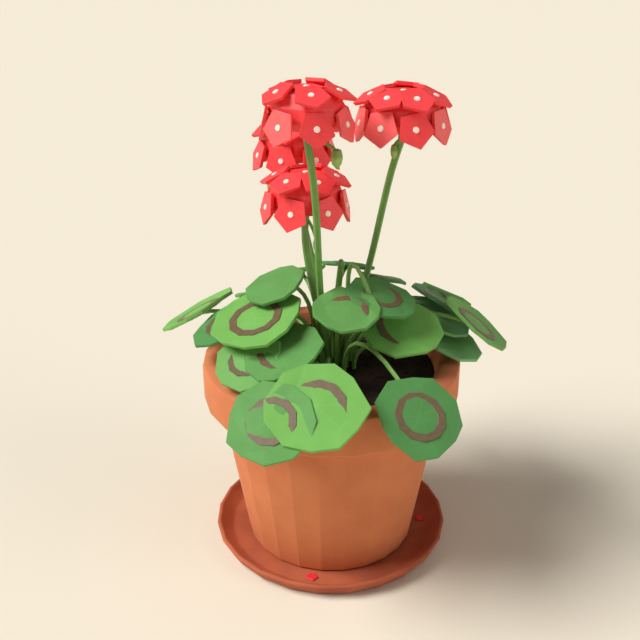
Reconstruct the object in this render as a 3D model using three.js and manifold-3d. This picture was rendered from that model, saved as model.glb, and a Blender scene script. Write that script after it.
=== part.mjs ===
/**
 * A zonal geranium in a terracotta pot that stands on a terracotta saucer.
 *
 * Millimetres, +Z up. The origin is the middle of the saucer's underside, on the pot's axis,
 * and -Y is the plant's front. The plant is a faceted one: its leaves are many-sided discs
 * with a raised brown zone ring, and its florets are five-sided plates with a pale eye.
 * Every leaf grows in one piece with its petiole, and each petiole, shoot and flower stem
 * stands in a blind hole in the soil.
 */

import * as THREE from 'three';
import { mergeVertices } from 'three/addons/utils/BufferGeometryUtils.js';
import Module from 'manifold-3d';

const wasm = await Module();
wasm.setup();

// ---------------------------------------------------------------- driving dimensions

const GAP = 0.3; // between pieces that rest on or stand in each other
const ROUND_SIDES = 24; // sides of the pot, the saucer and the soil
const ROUND_CORNER = 264.4; // the compass direction of one of their corners, in degrees

const SAUCER = {
  footRadius: 79, // where it stands
  outerFootRadius: 81.5, // above the rounded foot
  lipRadius: 86.6,
  lipWidth: 4,
  height: 10.5,
  floor: 3,
  floorRadius: 73,
};

const POT = {
  height: 141.7,
  rimRadius: 90,
  crestRadius: 84.6, // the rim falls gently outwards from here
  lipRadius: 79.6, // and inwards from here
  mouthRadius: 76.3,
  rimFall: 1.5,
  collarHeight: 29,
  bodyRadius: 79.5, // under the collar
  baseRadius: 61.2,
  wall: 7,
  floor: 9,
  drainRadius: 9,
};

const SOIL = {
  depthBelowRim: 10,
  roughness: 1.1,
  ringRadii: [32, 60],
  holeDepth: 9,
  holeSides: 7,
  holeRoom: 0.6, // between a stem and its hole's corners
};

const LEAF = {
  sides: 11,
  thickness: 2.4,
  flatShare: 0.64, // the flat middle of the blade, as a share of its radius
  dome: 1, // how far its middle stands above the flat, in mm
  radiusJitter: 0.08, // how far the corners stray from a circle, as a share of the radius
  edgeJitter: 0.9, // how far they stray from the blade's plane, in mm
  zoneRoot: 1, // how deep the zone ring is rooted in the blade, in mm
  zoneSunk: 0.5, // how deep its top lies where it is sunk
};

// A zone ring where a leaf names none: the height of its top above the blade, in mm, how much
// higher its outer edge is on the side toward which it rises, that side (in degrees from the
// blade's fall line), and its outer and inner radius as shares of the blade's.
const PLAIN_ZONE = { level: 0.5, lift: 0, toward: 0, outer: 0.6, inner: 0.42 };

const PETIOLE = { radius: 1.5, sides: 5, steps: 8 };
const SCAPE = { radius: 2.3, sides: 7, steps: 11 };
const SHOOT = { radius: 2.2, sides: 7 };

const FLORET = {
  sides: 5,
  radius: 12,
  thickness: 2.4,
  neckRadius: 6,
  neckLength: 11,
  eyeRadius: 2,
  eyeRise: 0.7,
  eyeSides: 5,
};

const HEAD = {
  upperRadius: 20.5, // the eyes of the upper row, from the head's axis
  upperHeight: 9.5, // and above its middle
  upperRise: 61, // degrees that the florets look up
  lowerRadius: 27.5,
  lowerHeight: -9.5,
  lowerRise: 16,
  topHeight: 11.4,
  heartSides: 7,
  bottom: -15,
  bottomRadius: 10,
};

const BUD = { sides: 7, stalkRadius: 1.1 };

// The two rings on which the petioles come out of the soil, round the flower stems.
const INNER_ROOTS = 11;
const OUTER_ROOTS = 16.5;

// Each leaf: the middle of its blade (x, y, and z above the rim), the compass direction that
// it faces and its droop in that direction, both in degrees, its radius, where its petiole
// comes out of the soil (ring and direction), the turn of its corners and the seed of their
// draw, how far its edge is cupped up, the part of the edge that curls up more (its direction
// from the fall line, the angle to each side of it, and how far up), and its zone ring, of
// which only a crescent shows where the rest is sunk.
// An arch gives a petiole that climbs over other leaves: how far back it aims, as a share of
// the radius, and how high it rises first, as a share of its height. A petiole with a crest
// climbs over its own blade (x, y and z above the rim) and lands on top of it, off its middle
// (along its fall line and across it). The leaves of a pair have grown through each other, and
// a plain leaf has no ring.
const LEAVES = [
  { at: [-35.7, -100.7, 4], face: -105, droop: 35.5, radius: 27.3, turn: 6, seed: 8538, cup: -0.6,
    curl: [130, 42, 2], ring: OUTER_ROOTS, root: -115, pair: 'front',
    zone: { level: 0.53, lift: 0.5, toward: 98 } },
  { at: [-8.4, -96, 11.4], face: -101, droop: 32, radius: 31, turn: 4, seed: 5909,
    ring: OUTER_ROOTS, root: -95, pair: 'front', zone: { level: -0.44, lift: 1.5, toward: 155 } },
  { at: [54.4, -87, -0.2], face: -65, droop: 38, radius: 28, turn: 5, seed: 8159, cup: -0.3,
    ring: OUTER_ROOTS, root: -58, arch: [1.8, 1.4], zone: { level: 0.45, lift: 0.25 } },
  { at: [-53.9, -46.8, 17.6], face: -121.5, droop: 30, radius: 22.7, turn: 18, seed: 1099,
    curl: [120, 22, 2], ring: OUTER_ROOTS, root: -148, pair: 'left',
    zone: { level: -0.4, lift: 1.4, toward: 335 } },
  { at: [-32.2, -46.5, 23.5], face: -128, droop: 21, radius: 27, turn: 32, seed: 2678,
    ring: INNER_ROOTS, root: -124, pair: 'left', zone: { level: -0.1, lift: 0.8, toward: 315 } },
  { at: [-50.1, -23.7, 36.7], face: -140, droop: 20, radius: 30.4, turn: 32, seed: 4211, cup: 0.3,
    ring: INNER_ROOTS, root: -160, zone: { level: 0.6, outer: 0.62, inner: 0.44 } },
  { at: [-73.6, -6.1, 24.9], face: -165, droop: 25, radius: 23.5, turn: 22, seed: 107,
    ring: OUTER_ROOTS, root: -176, zone: { level: 0.2, lift: 0.3, toward: 320 } },
  { at: [-97.9, 35.5, 15.7], face: 159, droop: 31, radius: 29.5, turn: 6, seed: 108, cup: 1.5,
    ring: OUTER_ROOTS, root: 160 },
  { at: [-38.4, -3.1, 52], face: -157, droop: 22, radius: 21.5, turn: 17, seed: 660,
    ring: INNER_ROOTS, root: 172, plain: true },
  { at: [-54.7, 84, 13.2], face: 122, droop: 25, radius: 22, turn: 0, seed: 110,
    ring: OUTER_ROOTS, root: 138 },
  { at: [9.9, -37, 48.6], face: -81, droop: 16, radius: 22.8, turn: 21, seed: 6492,
    curl: [92, 35, 1.6], ring: INNER_ROOTS, root: -72, pair: 'middle',
    zone: { level: -0.1, lift: 1.2, toward: 140, outer: 0.62, inner: 0.43 } },
  { at: [33.2, -18, 50.4], face: -36, droop: 15, radius: 23, turn: 11, seed: 5297,
    curl: [275, 20, -2.5], ring: INNER_ROOTS, root: -10, crest: [8, -2, 90], land: [-6.7, -4.9],
    pair: 'middle',
    zone: { level: 0.35, lift: 0.35, toward: 340 } },
  { at: [47.6, -21, 29.2], face: -74, droop: 17, radius: 27.2, turn: 9, seed: 7013,
    ring: INNER_ROOTS, root: -42,
    zone: { level: -0.6, lift: 1.3, toward: 275, outer: 0.66, inner: 0.46 } },
  { at: [75.7, 22.5, 19], face: -2, droop: 23, radius: 25, turn: 9, seed: 114,
    ring: OUTER_ROOTS, root: 10, arch: [1.03, 0.65], zone: { level: -0.4, lift: 1, toward: 200 } },
  { at: [80.6, 7.7, 9.2], face: -12, droop: 20.5, radius: 26.8, turn: 0, seed: 115,
    ring: OUTER_ROOTS, root: -16, plain: true },
  { at: [100.6, 4.3, 20.5], face: 2, droop: 38, radius: 28, turn: 14, seed: 116, cup: 2,
    ring: OUTER_ROOTS, root: 35, arch: [1.09, 0.86] },
  { at: [77.2, 36.1, 26.3], face: 21, droop: 30, radius: 21.5, turn: 3, seed: 117, cup: 1,
    ring: INNER_ROOTS, root: 22, arch: [1.12, 0.9] },
  { at: [88, 74, 13], face: 46, droop: 38, radius: 22.5, turn: 11, seed: 118,
    ring: OUTER_ROOTS, root: 48 },
  { at: [12.5, 78, 37], face: 73, droop: 24, radius: 20, turn: 0, seed: 119,
    ring: OUTER_ROOTS, root: 97 },
  { at: [39, 83, 24], face: 56, droop: 20, radius: 19, turn: 7, seed: 120,
    ring: INNER_ROOTS, root: 64 },
  { at: [-24.5, 57.7, 40.1], face: 114, droop: 22, radius: 20, turn: 19, seed: 121,
    ring: INNER_ROOTS, root: 134 },
  { at: [40, 98, 0], face: 68, droop: 36, radius: 26, turn: 4, seed: 122, cup: 0.6,
    ring: OUTER_ROOTS, root: 64 },
];
const PLAIN_ARCH = [0.95, 0.55];

// Each flower: the middle of its head (x, y, and z above the rim), where its stem comes out of
// the soil, the two points (z above the rim) that the stem bends toward, the number of florets
// in the upper and lower row and the direction of the first floret of each, in degrees, its
// size, the height of its rows of florets as a share of the usual one (a flatter head has
// less), and its buds, each hanging from the stem's top in a compass direction, with its reach,
// its drop below the head's bottom, radius and length.
const FLOWERS = [
  {
    at: [-15.4, -34, 179], root: [-1, -8], bends: [[-13, -9.5, 59.5], [-5, -35.5, 105]],
    upper: [5, -80.4], lower: [7, -75.4], size: 0.95,
    buds: [{ to: 0, reach: 18, drop: 10, radius: 3.8, length: 11 }],
  },
  {
    at: [43.5, -2, 171.9], root: [5.5, 6], bends: [[33, 39, 53.5], [31, 9, 111]],
    upper: [7, -71], lower: [8, -77], size: 1.01, tall: 0.885,
    buds: [{ to: 200, reach: 5, drop: 6, radius: 2.4, length: 8.5 }],
  },
  {
    at: [-26.3, 66.8, 136.5], root: [-3, 9.5], bends: [[-7.5, 6, 66], [-26.5, 57, 80]],
    upper: [6, -105], lower: [7, -109], size: 1.02,
    buds: [
      { to: 180, reach: 19, drop: 12.5, radius: 2.4, length: 8 },
      { to: 60, reach: 13, drop: 9, radius: 2.8, length: 9 },
    ],
  },
  {
    at: [-17.6, 8, 116.5], root: [-6.5, -1], bends: [[-4, 1, 29], [-22, 9, 67.5]],
    upper: [6, -125], lower: [7, -108.6], size: 1.0,
    buds: [{ to: -8, reach: 7, drop: 17, radius: 2.2, length: 9 }],
  },
];

// Each young shoot: the top of its tip (x, y, and z above the rim), its root and its thickness.
const SHOOTS = [
  { at: [6.3, 13, 66], root: [2.5, 15], scale: 1 },
];

const PETALS = [
  { at: [-12.6, -67], radius: 4.2, turn: 10 },
  { at: [68.6, 1], radius: 3.8, turn: 40 },
];
const PETAL_THICKNESS = 0.8;

// ---------------------------------------------------------------- worked-out dimensions

const POT_FOOT = SAUCER.floor + GAP; // the height of the pot's underside
const RIM = POT_FOOT + POT.height; // the height of the rim's top
const SOIL_TOP = RIM - SOIL.depthBelowRim;

// ---------------------------------------------------------------- materials

const finish = (color, roughness) => new THREE.MeshStandardMaterial({ color, roughness, metalness: 0 });

const terracotta = () => finish(0xb86a3e, 0.85);
const pottingSoil = () => finish(0x2a2019, 1);
const foliage = () => finish(0x5f9e4c, 0.7);
const stalk = () => finish(0x5f8f40, 0.7);
const blossom = () => finish(0xd8323c, 0.6);

// ---------------------------------------------------------------- geometry helpers

const radians = THREE.MathUtils.degToRad;

/** A repeatable source of numbers from 0 to 1. */
function randomFrom(seed) {
  let state = seed;
  return () => {
    state = (state * 1664525 + 1013904223) >>> 0;
    return state / 4294967296;
  };
}

/** A random number from -1 to 1. */
const stray = (random) => 2 * random() - 1;

/** The unit vector in a compass direction, rising by an angle, both in degrees. */
function direction(compass, rise = 0) {
  const [a, b] = [radians(compass), radians(rise)];
  return new THREE.Vector3(Math.cos(a) * Math.cos(b), Math.sin(a) * Math.cos(b), Math.sin(b));
}

/** Turns a closed geometry into a solid that can be joined and cut. */
function solidOf(geometry) {
  const bare = geometry.clone();
  bare.deleteAttribute('normal');
  bare.deleteAttribute('uv');
  const merged = mergeVertices(bare, 1e-4);
  const corners = [];
  for (let i = 0; i < merged.index.count; i += 3) {
    const [a, b, c] = [0, 1, 2].map((k) => merged.index.getX(i + k));
    if (a !== b && b !== c && c !== a) corners.push(a, b, c);
  }
  return new wasm.Manifold(
    new wasm.Mesh({
      numProp: 3,
      vertProperties: new Float32Array(merged.attributes.position.array),
      triVerts: new Uint32Array(corners),
    }),
  );
}

/** Turns a solid back into a geometry. */
function geometryOf(solid) {
  const { vertProperties, triVerts } = solid.getMesh();
  const geometry = new THREE.BufferGeometry();
  geometry.setAttribute('position', new THREE.BufferAttribute(vertProperties, 3));
  geometry.setIndex(new THREE.BufferAttribute(triVerts, 1));
  return geometry;
}

/** Joins geometries that overlap into one closed body. */
function fuse(geometries) {
  return geometryOf(geometries.map(solidOf).reduce((whole, next) => whole.add(next)));
}

/** A round piece about the Z axis, from [radius, height] points. */
function lathe(points, sides) {
  const outline = points.map(([r, z]) => new THREE.Vector2(r, z));
  return new THREE.LatheGeometry(outline, sides).rotateX(Math.PI / 2);
}

/** A round piece with the sides of the pot. */
function turned(points) {
  return lathe(points, ROUND_SIDES).rotateZ(radians(ROUND_CORNER + 90));
}

/** A closed tube of a many-sided section along a curve. */
function tube(curve, radius, sides, steps) {
  const section = new THREE.Shape();
  for (let i = 0; i < sides; i += 1) {
    const angle = (2 * Math.PI * i) / sides;
    const point = [radius * Math.cos(angle), radius * Math.sin(angle)];
    if (i === 0) section.moveTo(...point);
    else section.lineTo(...point);
  }
  return new THREE.ExtrudeGeometry(section, { extrudePath: curve, steps, curveSegments: 1 });
}

/** Puts a geometry that is built round +Z at a place, with its +Z along a direction. */
function aim(geometry, place, along, turn = 0) {
  const turned = new THREE.Quaternion().setFromUnitVectors(new THREE.Vector3(0, 0, 1), along);
  return geometry.rotateZ(radians(turn)).applyQuaternion(turned).translate(...place.toArray());
}

/** A named mesh of one sub-part. */
function piece(name, geometry, material) {
  const mesh = new THREE.Mesh(geometry, material);
  mesh.name = name;
  return mesh;
}

// ---------------------------------------------------------------- saucer, pot and soil

function saucer() {
  const s = SAUCER;
  const inner = s.lipRadius - s.lipWidth;
  return turned([
    [0, 0],
    [s.footRadius, 0],
    [s.outerFootRadius, 1.2],
    [s.lipRadius - 0.4, s.height - 1.6],
    [s.lipRadius - 0.8, s.height - 0.4],
    [s.lipRadius - 1.8, s.height],
    [inner + 1, s.height],
    [inner, s.height - 0.9],
    [s.floorRadius + 3, s.floor + 1.2],
    [s.floorRadius, s.floor],
    [0, s.floor],
  ]);
}

/** The pot's inner wall, from the mouth down, as [radius, height above the pot's foot]. */
function innerWall() {
  const p = POT;
  return [
    [p.mouthRadius, p.height - 1],
    [p.mouthRadius - 3.2, p.height - SOIL.depthBelowRim],
    [p.bodyRadius - p.wall, p.height - p.collarHeight - 6],
    [p.baseRadius - p.wall + 3, p.floor + 5],
    [p.baseRadius - p.wall - 2, p.floor],
  ];
}

function pot() {
  const p = POT;
  const collarFoot = p.height - p.collarHeight;
  const profile = [
    [p.drainRadius, p.floor],
    [p.drainRadius, 0],
    [p.baseRadius - 1, 0],
    [p.baseRadius, 1],
    [p.bodyRadius, collarFoot],
    [p.rimRadius - 1.5, collarFoot],
    [p.rimRadius, collarFoot + 1.5],
    [p.rimRadius, p.height - p.rimFall - 1],
    [p.rimRadius - 0.8, p.height - p.rimFall],
    [p.crestRadius, p.height],
    [p.lipRadius, p.height],
    ...innerWall(),
    [p.drainRadius, p.floor],
  ];
  return turned(profile).translate(0, 0, POT_FOOT);
}

/** The fill of soil, uneven on top, before the stems' holes. */
function soilFill(random) {
  const wall = innerWall().slice(1);
  const clear = 0.4; // more than the gap, because the sides are flat
  const floor = wall.at(-1);
  const side = wall.map(([r, z]) => [r - clear, z]).reverse();
  side[0] = [floor[0] - clear, floor[1] + GAP];
  const top = wall[0][1];
  const rings = SOIL.ringRadii.toReversed().map((r) => [r, top]);
  const geometry = turned([[0, side[0][1]], ...side, ...rings, [0, top + 1.5]]);
  geometry.translate(0, 0, POT_FOOT);
  const merged = mergeVertices(geometry.deleteAttribute('normal').deleteAttribute('uv'), 1e-4);
  const position = merged.attributes.position;
  const edge = SOIL.ringRadii.at(-1) + 1;
  const calm = OUTER_ROOTS + PETIOLE.radius + 2; // level where the stems stand
  for (let i = 0; i < position.count; i += 1) {
    const r = Math.hypot(position.getX(i), position.getY(i));
    const lift = SOIL.roughness * stray(random);
    if (position.getZ(i) > SOIL_TOP - 1 && r > calm && r < edge) position.setZ(i, position.getZ(i) + lift);
  }
  return merged;
}

/** The blind hole that a stem stands in, about its mouth. */
function bore(radius) {
  const round = new THREE.CylinderGeometry(radius, radius, 2 * SOIL.holeDepth, SOIL.holeSides);
  return round.rotateX(Math.PI / 2);
}

function soil(stems) {
  const holes = stems.map(({ root, radius }) =>
    bore(radius + SOIL.holeRoom).translate(root.x, root.y, SOIL_TOP),
  );
  const fill = solidOf(soilFill(randomFrom(5)));
  return geometryOf(holes.reduce((left, hole) => left.subtract(solidOf(hole)), fill));
}

// ---------------------------------------------------------------- leaves

/** A leaf's own axes: along its fall line, across it, and out of its upper side. */
function leafFrame({ at, face, droop }) {
  const tip = direction(face, -droop);
  const up = direction(face, 90 - droop);
  const side = new THREE.Vector3().crossVectors(up, tip);
  const middle = new THREE.Vector3(at[0], at[1], at[2] + RIM);
  const matrix = new THREE.Matrix4().makeBasis(tip, side, up).setPosition(middle);
  return { tip, side, up, middle, matrix };
}

/** The blade: a slab with a low-domed middle and a cornered, slightly wavy edge. */
function blade({ radius, turn, seed, cup = 0, curl = [0, 0, 0] }) {
  const { sides, thickness, flatShare, dome } = LEAF;
  const random = randomFrom(seed);
  const half = thickness / 2;
  const vertices = [[0, 0, half + dome], [0, 0, dome - half]];
  const [toward, eachWay, up] = curl;
  const corners = Array.from({ length: sides }, (_, i) => {
    const angle = turn + (360 * (i + 0.22 * stray(random))) / sides;
    const reach = radius * (1 + LEAF.radiusJitter * stray(random));
    const lift = cup + LEAF.edgeJitter * stray(random);
    const aside = Math.abs(((angle - toward + 540) % 360) - 180);
    return { angle: radians(angle), reach, lift: lift + (aside < eachWay ? up : 0) };
  });
  for (const { angle, reach, lift } of corners) {
    const [x, y] = [Math.cos(angle), Math.sin(angle)];
    const inner = flatShare * radius;
    vertices.push([inner * x, inner * y, half], [inner * x, inner * y, -half]);
    vertices.push([reach * x, reach * y, half + lift], [reach * x, reach * y, lift - half]);
  }
  const faces = [];
  for (let i = 0; i < sides; i += 1) {
    const [a, b] = [2 + 4 * i, 2 + 4 * ((i + 1) % sides)];
    faces.push([0, a, b], [a, a + 2, b + 2], [a, b + 2, b]); // top
    faces.push([1, b + 1, a + 1], [a + 1, b + 3, a + 3], [a + 1, b + 1, b + 3]); // underside
    faces.push([a + 2, a + 3, b + 3], [a + 2, b + 3, b + 2]); // edge
  }
  const geometry = new THREE.BufferGeometry();
  geometry.setAttribute('position', new THREE.Float32BufferAttribute(vertices.flat(), 3));
  geometry.setIndex(faces.flat());
  return geometry;
}

/** The zone ring: a low flat-topped collar on the blade, lost in it where it is sunk. */
function zoneRing({ radius, turn, zone }) {
  const { level, lift, toward, outer, inner } = { ...PLAIN_ZONE, ...zone };
  const root = -LEAF.zoneRoot;
  const [wide, narrow] = [outer * radius, inner * radius];
  const ring = lathe([[narrow, root], [wide, root], [wide, 0], [narrow, 0], [narrow, root]], LEAF.sides);
  ring.rotateZ(radians(turn + 16));
  const position = ring.attributes.position;
  for (let i = 0; i < position.count; i += 1) {
    if (position.getZ(i) < root / 2) continue;
    const [x, y] = [position.getX(i), position.getY(i)];
    const along = x * Math.cos(radians(toward)) + y * Math.sin(radians(toward));
    position.setZ(i, Math.max(-LEAF.zoneSunk, level + (lift * along) / wide));
  }
  return ring.translate(0, 0, LEAF.thickness / 2);
}

/** The petiole's line: straight up out of the soil, then over to the blade's middle. */
function petioleLine(leaf, { tip, up, middle }) {
  const root = rootOf(leaf);
  const foot = new THREE.Vector3(root.x, root.y, SOIL_TOP - SOIL.holeDepth + GAP + 0.1);
  const collar = new THREE.Vector3(root.x, root.y, SOIL_TOP + 4);
  const end = middle.clone().addScaledVector(up, 0.3 - LEAF.thickness / 2);
  const [back, high] = leaf.arch ?? PLAIN_ARCH;
  const arrival = end.clone().addScaledVector(tip, -back * leaf.radius).addScaledVector(up, -4);
  const rise = collar.clone().setZ(collar.z + high * (end.z - SOIL_TOP + 20));
  const line = new THREE.CurvePath();
  line.add(new THREE.LineCurve3(foot, collar));
  line.add(new THREE.CubicBezierCurve3(collar, rise, arrival, end));
  return line;
}

/** The line of a petiole that climbs over its own blade and lands on top of it. */
function crestedLine(leaf, { tip, side, up, middle }) {
  const root = rootOf(leaf);
  const foot = new THREE.Vector3(root.x, root.y, SOIL_TOP - SOIL.holeDepth + GAP + 0.1);
  const collar = foot.clone().setZ(SOIL_TOP + 4);
  const crest = new THREE.Vector3(leaf.crest[0], leaf.crest[1], leaf.crest[2] + RIM);
  const end = middle.clone().addScaledVector(up, LEAF.thickness / 2 - 0.6);
  end.addScaledVector(tip, leaf.land[0]).addScaledVector(side, leaf.land[1]);
  const line = new THREE.CurvePath();
  line.add(new THREE.LineCurve3(foot, collar));
  line.add(new THREE.CubicBezierCurve3(collar, collar.clone().setZ(crest.z - 25), crest, end));
  return line;
}

/** Where a leaf's petiole comes out of the soil. */
function rootOf({ ring, root }) {
  return direction(root).multiplyScalar(ring);
}

/** A whole leaf, joined in its blade's own axes, where the blade's middle is level. */
function leaf(data) {
  const frame = leafFrame(data);
  const line = data.crest ? crestedLine(data, frame) : petioleLine(data, frame);
  const petiole = tube(line, PETIOLE.radius, PETIOLE.sides, PETIOLE.steps + (data.crest ? 4 : 0));
  const parts = [blade(data), petiole.applyMatrix4(frame.matrix.clone().invert())];
  if (!data.plain) parts.push(zoneRing(data));
  return fuse(parts).applyMatrix4(frame.matrix);
}

// ---------------------------------------------------------------- flowers

/** One floret: a five-sided plate on a neck, with a pale raised eye, looking along +Z. */
function floret() {
  const f = FLORET;
  const plate = lathe(
    [
      [0, -f.thickness - f.neckLength],
      [f.neckRadius, -f.thickness],
      [0.94 * f.radius, -f.thickness],
      [f.radius, 0],
      [0, 0],
    ],
    f.sides,
  );
  const eye = new THREE.CylinderGeometry(f.eyeRadius * 0.85, f.eyeRadius, f.eyeRise + 0.6, f.eyeSides)
    .rotateX(Math.PI / 2)
    .translate(0, 0, (f.eyeRise - 0.6) / 2);
  return [plate, eye];
}

/** The places of a head's florets: the top one, the upper row and the lower row. */
function floretPlaces({ upper, lower, tall = 1 }, random) {
  const h = HEAD;
  const places = [{ out: 0, height: h.topHeight, compass: 0, rise: 90 }];
  for (let i = 0; i < upper[0]; i += 1) {
    const compass = upper[1] + (360 * i) / upper[0];
    places.push({ out: h.upperRadius, height: h.upperHeight, compass, rise: h.upperRise });
  }
  for (let i = 0; i < lower[0]; i += 1) {
    const compass = lower[1] + (360 * i) / lower[0];
    places.push({ out: h.lowerRadius, height: h.lowerHeight, compass, rise: h.lowerRise });
  }
  return places.map((place) => ({
    ...place,
    height: place.height * tall,
    rise: Math.min(90, place.rise + 5 * stray(random)),
    turn: place.compass + 90 + 14 * stray(random), // most of them with a corner down
  }));
}

/** The red heart that the florets stand out of. */
function heart() {
  const h = HEAD;
  return lathe(
    [
      [0, h.bottom],
      [h.bottomRadius, h.bottom],
      [19.5, h.bottom + 2],
      [24, h.lowerHeight + 2],
      [23.5, 1],
      [18, h.upperHeight - 0.5],
      [7, h.topHeight - 3.2],
      [0, h.topHeight - 2.6],
    ],
    h.heartSides,
  );
}

function flowerHead(flower, random) {
  const parts = [heart()];
  for (const { out, height, compass, rise, turn } of floretPlaces(flower, random)) {
    const place = direction(compass).multiplyScalar(out).setZ(height);
    for (const part of floret()) parts.push(aim(part, place, direction(compass, rise), turn));
  }
  const [x, y, z] = flower.at;
  const head = fuse(parts);
  return head.scale(flower.size, flower.size, flower.size).translate(x, y, z + RIM);
}

/** Where a head's flat bottom stands over its stem. */
function headBottom({ at, size }) {
  return new THREE.Vector3(at[0], at[1], at[2] + RIM + HEAD.bottom * size - GAP);
}

/** A bud: a pointed, cornered drop that hangs from a thin stalk at the stem's top. */
function bud(flower, { to, reach, drop, radius, length }) {
  const top = headBottom(flower).add(new THREE.Vector3(0, 0, -4));
  const knee = top.clone().addScaledVector(direction(to), 0.75 * reach).setZ(top.z - 0.35 * drop);
  const end = top.clone().addScaledVector(direction(to), reach).setZ(top.z + 1 - drop);
  const line = new THREE.QuadraticBezierCurve3(top, knee, end);
  const drape = lathe(
    [
      [0, 1],
      [0.55 * radius, 0.6],
      [radius, -0.38 * length],
      [0.8 * radius, -0.7 * length],
      [0, -length],
    ].reverse(),
    BUD.sides,
  ).translate(...end.toArray());
  return [tube(line, BUD.stalkRadius, 5, 5), drape];
}

function flowerStem(flower) {
  const top = headBottom(flower);
  const root = new THREE.Vector3(...flower.root, 0);
  const foot = root.clone().setZ(SOIL_TOP - SOIL.holeDepth + GAP + 0.1);
  const collar = root.clone().setZ(SOIL_TOP + 8);
  const neck = top.clone().setZ(top.z - 5);
  const bends = flower.bends.map(([x, y, z]) => new THREE.Vector3(x, y, z + RIM));
  const line = new THREE.CurvePath();
  line.add(new THREE.LineCurve3(foot, collar));
  line.add(new THREE.CubicBezierCurve3(collar, ...bends, neck));
  line.add(new THREE.LineCurve3(neck, top));
  const stem = tube(line, SCAPE.radius, SCAPE.sides, SCAPE.steps);
  return fuse([stem, ...flower.buds.flatMap((data) => bud(flower, data))]);
}

// ---------------------------------------------------------------- shoots and fallen petals

function youngShoot({ at, root, scale }) {
  const radius = SHOOT.radius * scale;
  const foot = new THREE.Vector3(...root, SOIL_TOP - SOIL.holeDepth + GAP + 0.1);
  const collar = new THREE.Vector3(...root, SOIL_TOP + 5);
  const top = new THREE.Vector3(at[0], at[1], at[2] + RIM - 2.4 * radius);
  const line = new THREE.CurvePath();
  line.add(new THREE.LineCurve3(foot, collar));
  line.add(
    new THREE.QuadraticBezierCurve3(collar, collar.clone().setZ((collar.z + top.z) / 2), top),
  );
  const tip = lathe(
    [
      [0, -radius],
      [0.7 * radius, -radius],
      [1.25 * radius, 0.4 * radius],
      [0.8 * radius, 1.9 * radius],
      [0, 2.4 * radius],
    ],
    SHOOT.sides,
  ).translate(...top.toArray());
  return fuse([tube(line, radius, SHOOT.sides, 6), tip]);
}

function fallenPetal({ at, radius, turn }) {
  return new THREE.CylinderGeometry(radius, radius, PETAL_THICKNESS, FLORET.sides)
    .rotateX(Math.PI / 2)
    .rotateZ(radians(turn))
    .translate(at[0], at[1], SAUCER.floor + GAP + PETAL_THICKNESS / 2);
}

// ---------------------------------------------------------------- the whole plant

const number = (i) => String(i + 1).padStart(2, '0');

/** The holes that the soil needs, one for every stem that stands in it. */
function stemsInSoil() {
  return [
    ...LEAVES.map((data) => ({ root: rootOf(data), radius: PETIOLE.radius })),
    ...FLOWERS.map(({ root }) => ({ root: new THREE.Vector3(...root, 0), radius: SCAPE.radius })),
    ...SHOOTS.map(({ root, scale }) => ({
      root: new THREE.Vector3(...root, 0),
      radius: SHOOT.radius * scale,
    })),
  ];
}

/** The leaves' geometries under the names of their nodes, a pair's two under one name. */
function leavesByNode() {
  const nodes = new Map();
  LEAVES.forEach((data, i) => {
    const name = data.pair ? `leaf_pair_${data.pair}` : `leaf_${number(i)}`;
    nodes.set(name, [...(nodes.get(name) ?? []), leaf(data)]);
  });
  return nodes;
}

function geranium() {
  const whole = new THREE.Group();
  whole.add(piece('saucer', saucer(), terracotta()));
  whole.add(piece('pot', pot(), terracotta()));
  whole.add(piece('soil', soil(stemsInSoil()), pottingSoil()));
  for (const [name, geometries] of leavesByNode()) {
    const geometry = geometries.length > 1 ? fuse(geometries) : geometries[0];
    whole.add(piece(name, geometry, foliage()));
  }
  SHOOTS.forEach((data, i) => {
    whole.add(piece(`young_shoot_${number(i)}`, youngShoot(data), stalk()));
  });
  FLOWERS.forEach((data, i) => {
    whole.add(piece(`flower_stem_${number(i)}`, flowerStem(data), stalk()));
    whole.add(piece(`flower_head_${number(i)}`, flowerHead(data, randomFrom(301 + i)), blossom()));
  });
  PETALS.forEach((data, i) => {
    whole.add(piece(`fallen_petal_${number(i)}`, fallenPetal(data), blossom()));
  });
  return whole;
}

export default geranium();
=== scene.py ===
"""A zonal geranium in its terracotta pot and saucer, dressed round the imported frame.

The plant is a stylised one: its leaves are eleven-sided discs with a brown zone ring, and its
flower heads are faceted hearts set with five-sided florets. Objects are in metres, in the
frame's own axes: the origin is the middle of the saucer's underside, +Z is up and -Y is the
plant's front. Sizes in the source are in millimetres and degrees.
"""

import logging
import math
from contextlib import contextmanager
from dataclasses import dataclass
from enum import Enum
from itertools import pairwise
from typing import Any, Callable, ClassVar, Iterator, Sequence

import bmesh
import bpy
from mathutils import Matrix, Quaternion, Vector


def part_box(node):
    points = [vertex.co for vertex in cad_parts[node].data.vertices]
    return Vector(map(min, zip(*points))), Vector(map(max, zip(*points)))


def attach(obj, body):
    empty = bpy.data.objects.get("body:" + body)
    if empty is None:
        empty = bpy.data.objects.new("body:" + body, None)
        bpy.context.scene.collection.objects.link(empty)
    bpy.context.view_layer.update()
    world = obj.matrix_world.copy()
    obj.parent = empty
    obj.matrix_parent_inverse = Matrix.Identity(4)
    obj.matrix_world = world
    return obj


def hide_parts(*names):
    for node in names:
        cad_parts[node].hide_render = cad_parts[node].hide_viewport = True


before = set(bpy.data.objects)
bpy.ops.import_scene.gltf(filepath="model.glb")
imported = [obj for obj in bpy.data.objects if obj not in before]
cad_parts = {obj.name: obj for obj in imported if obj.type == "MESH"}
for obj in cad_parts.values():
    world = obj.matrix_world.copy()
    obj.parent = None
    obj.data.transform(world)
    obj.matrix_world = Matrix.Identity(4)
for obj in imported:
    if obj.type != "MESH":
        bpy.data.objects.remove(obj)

log = logging.getLogger("geranium")

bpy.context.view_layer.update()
BODY = "root"

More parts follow.
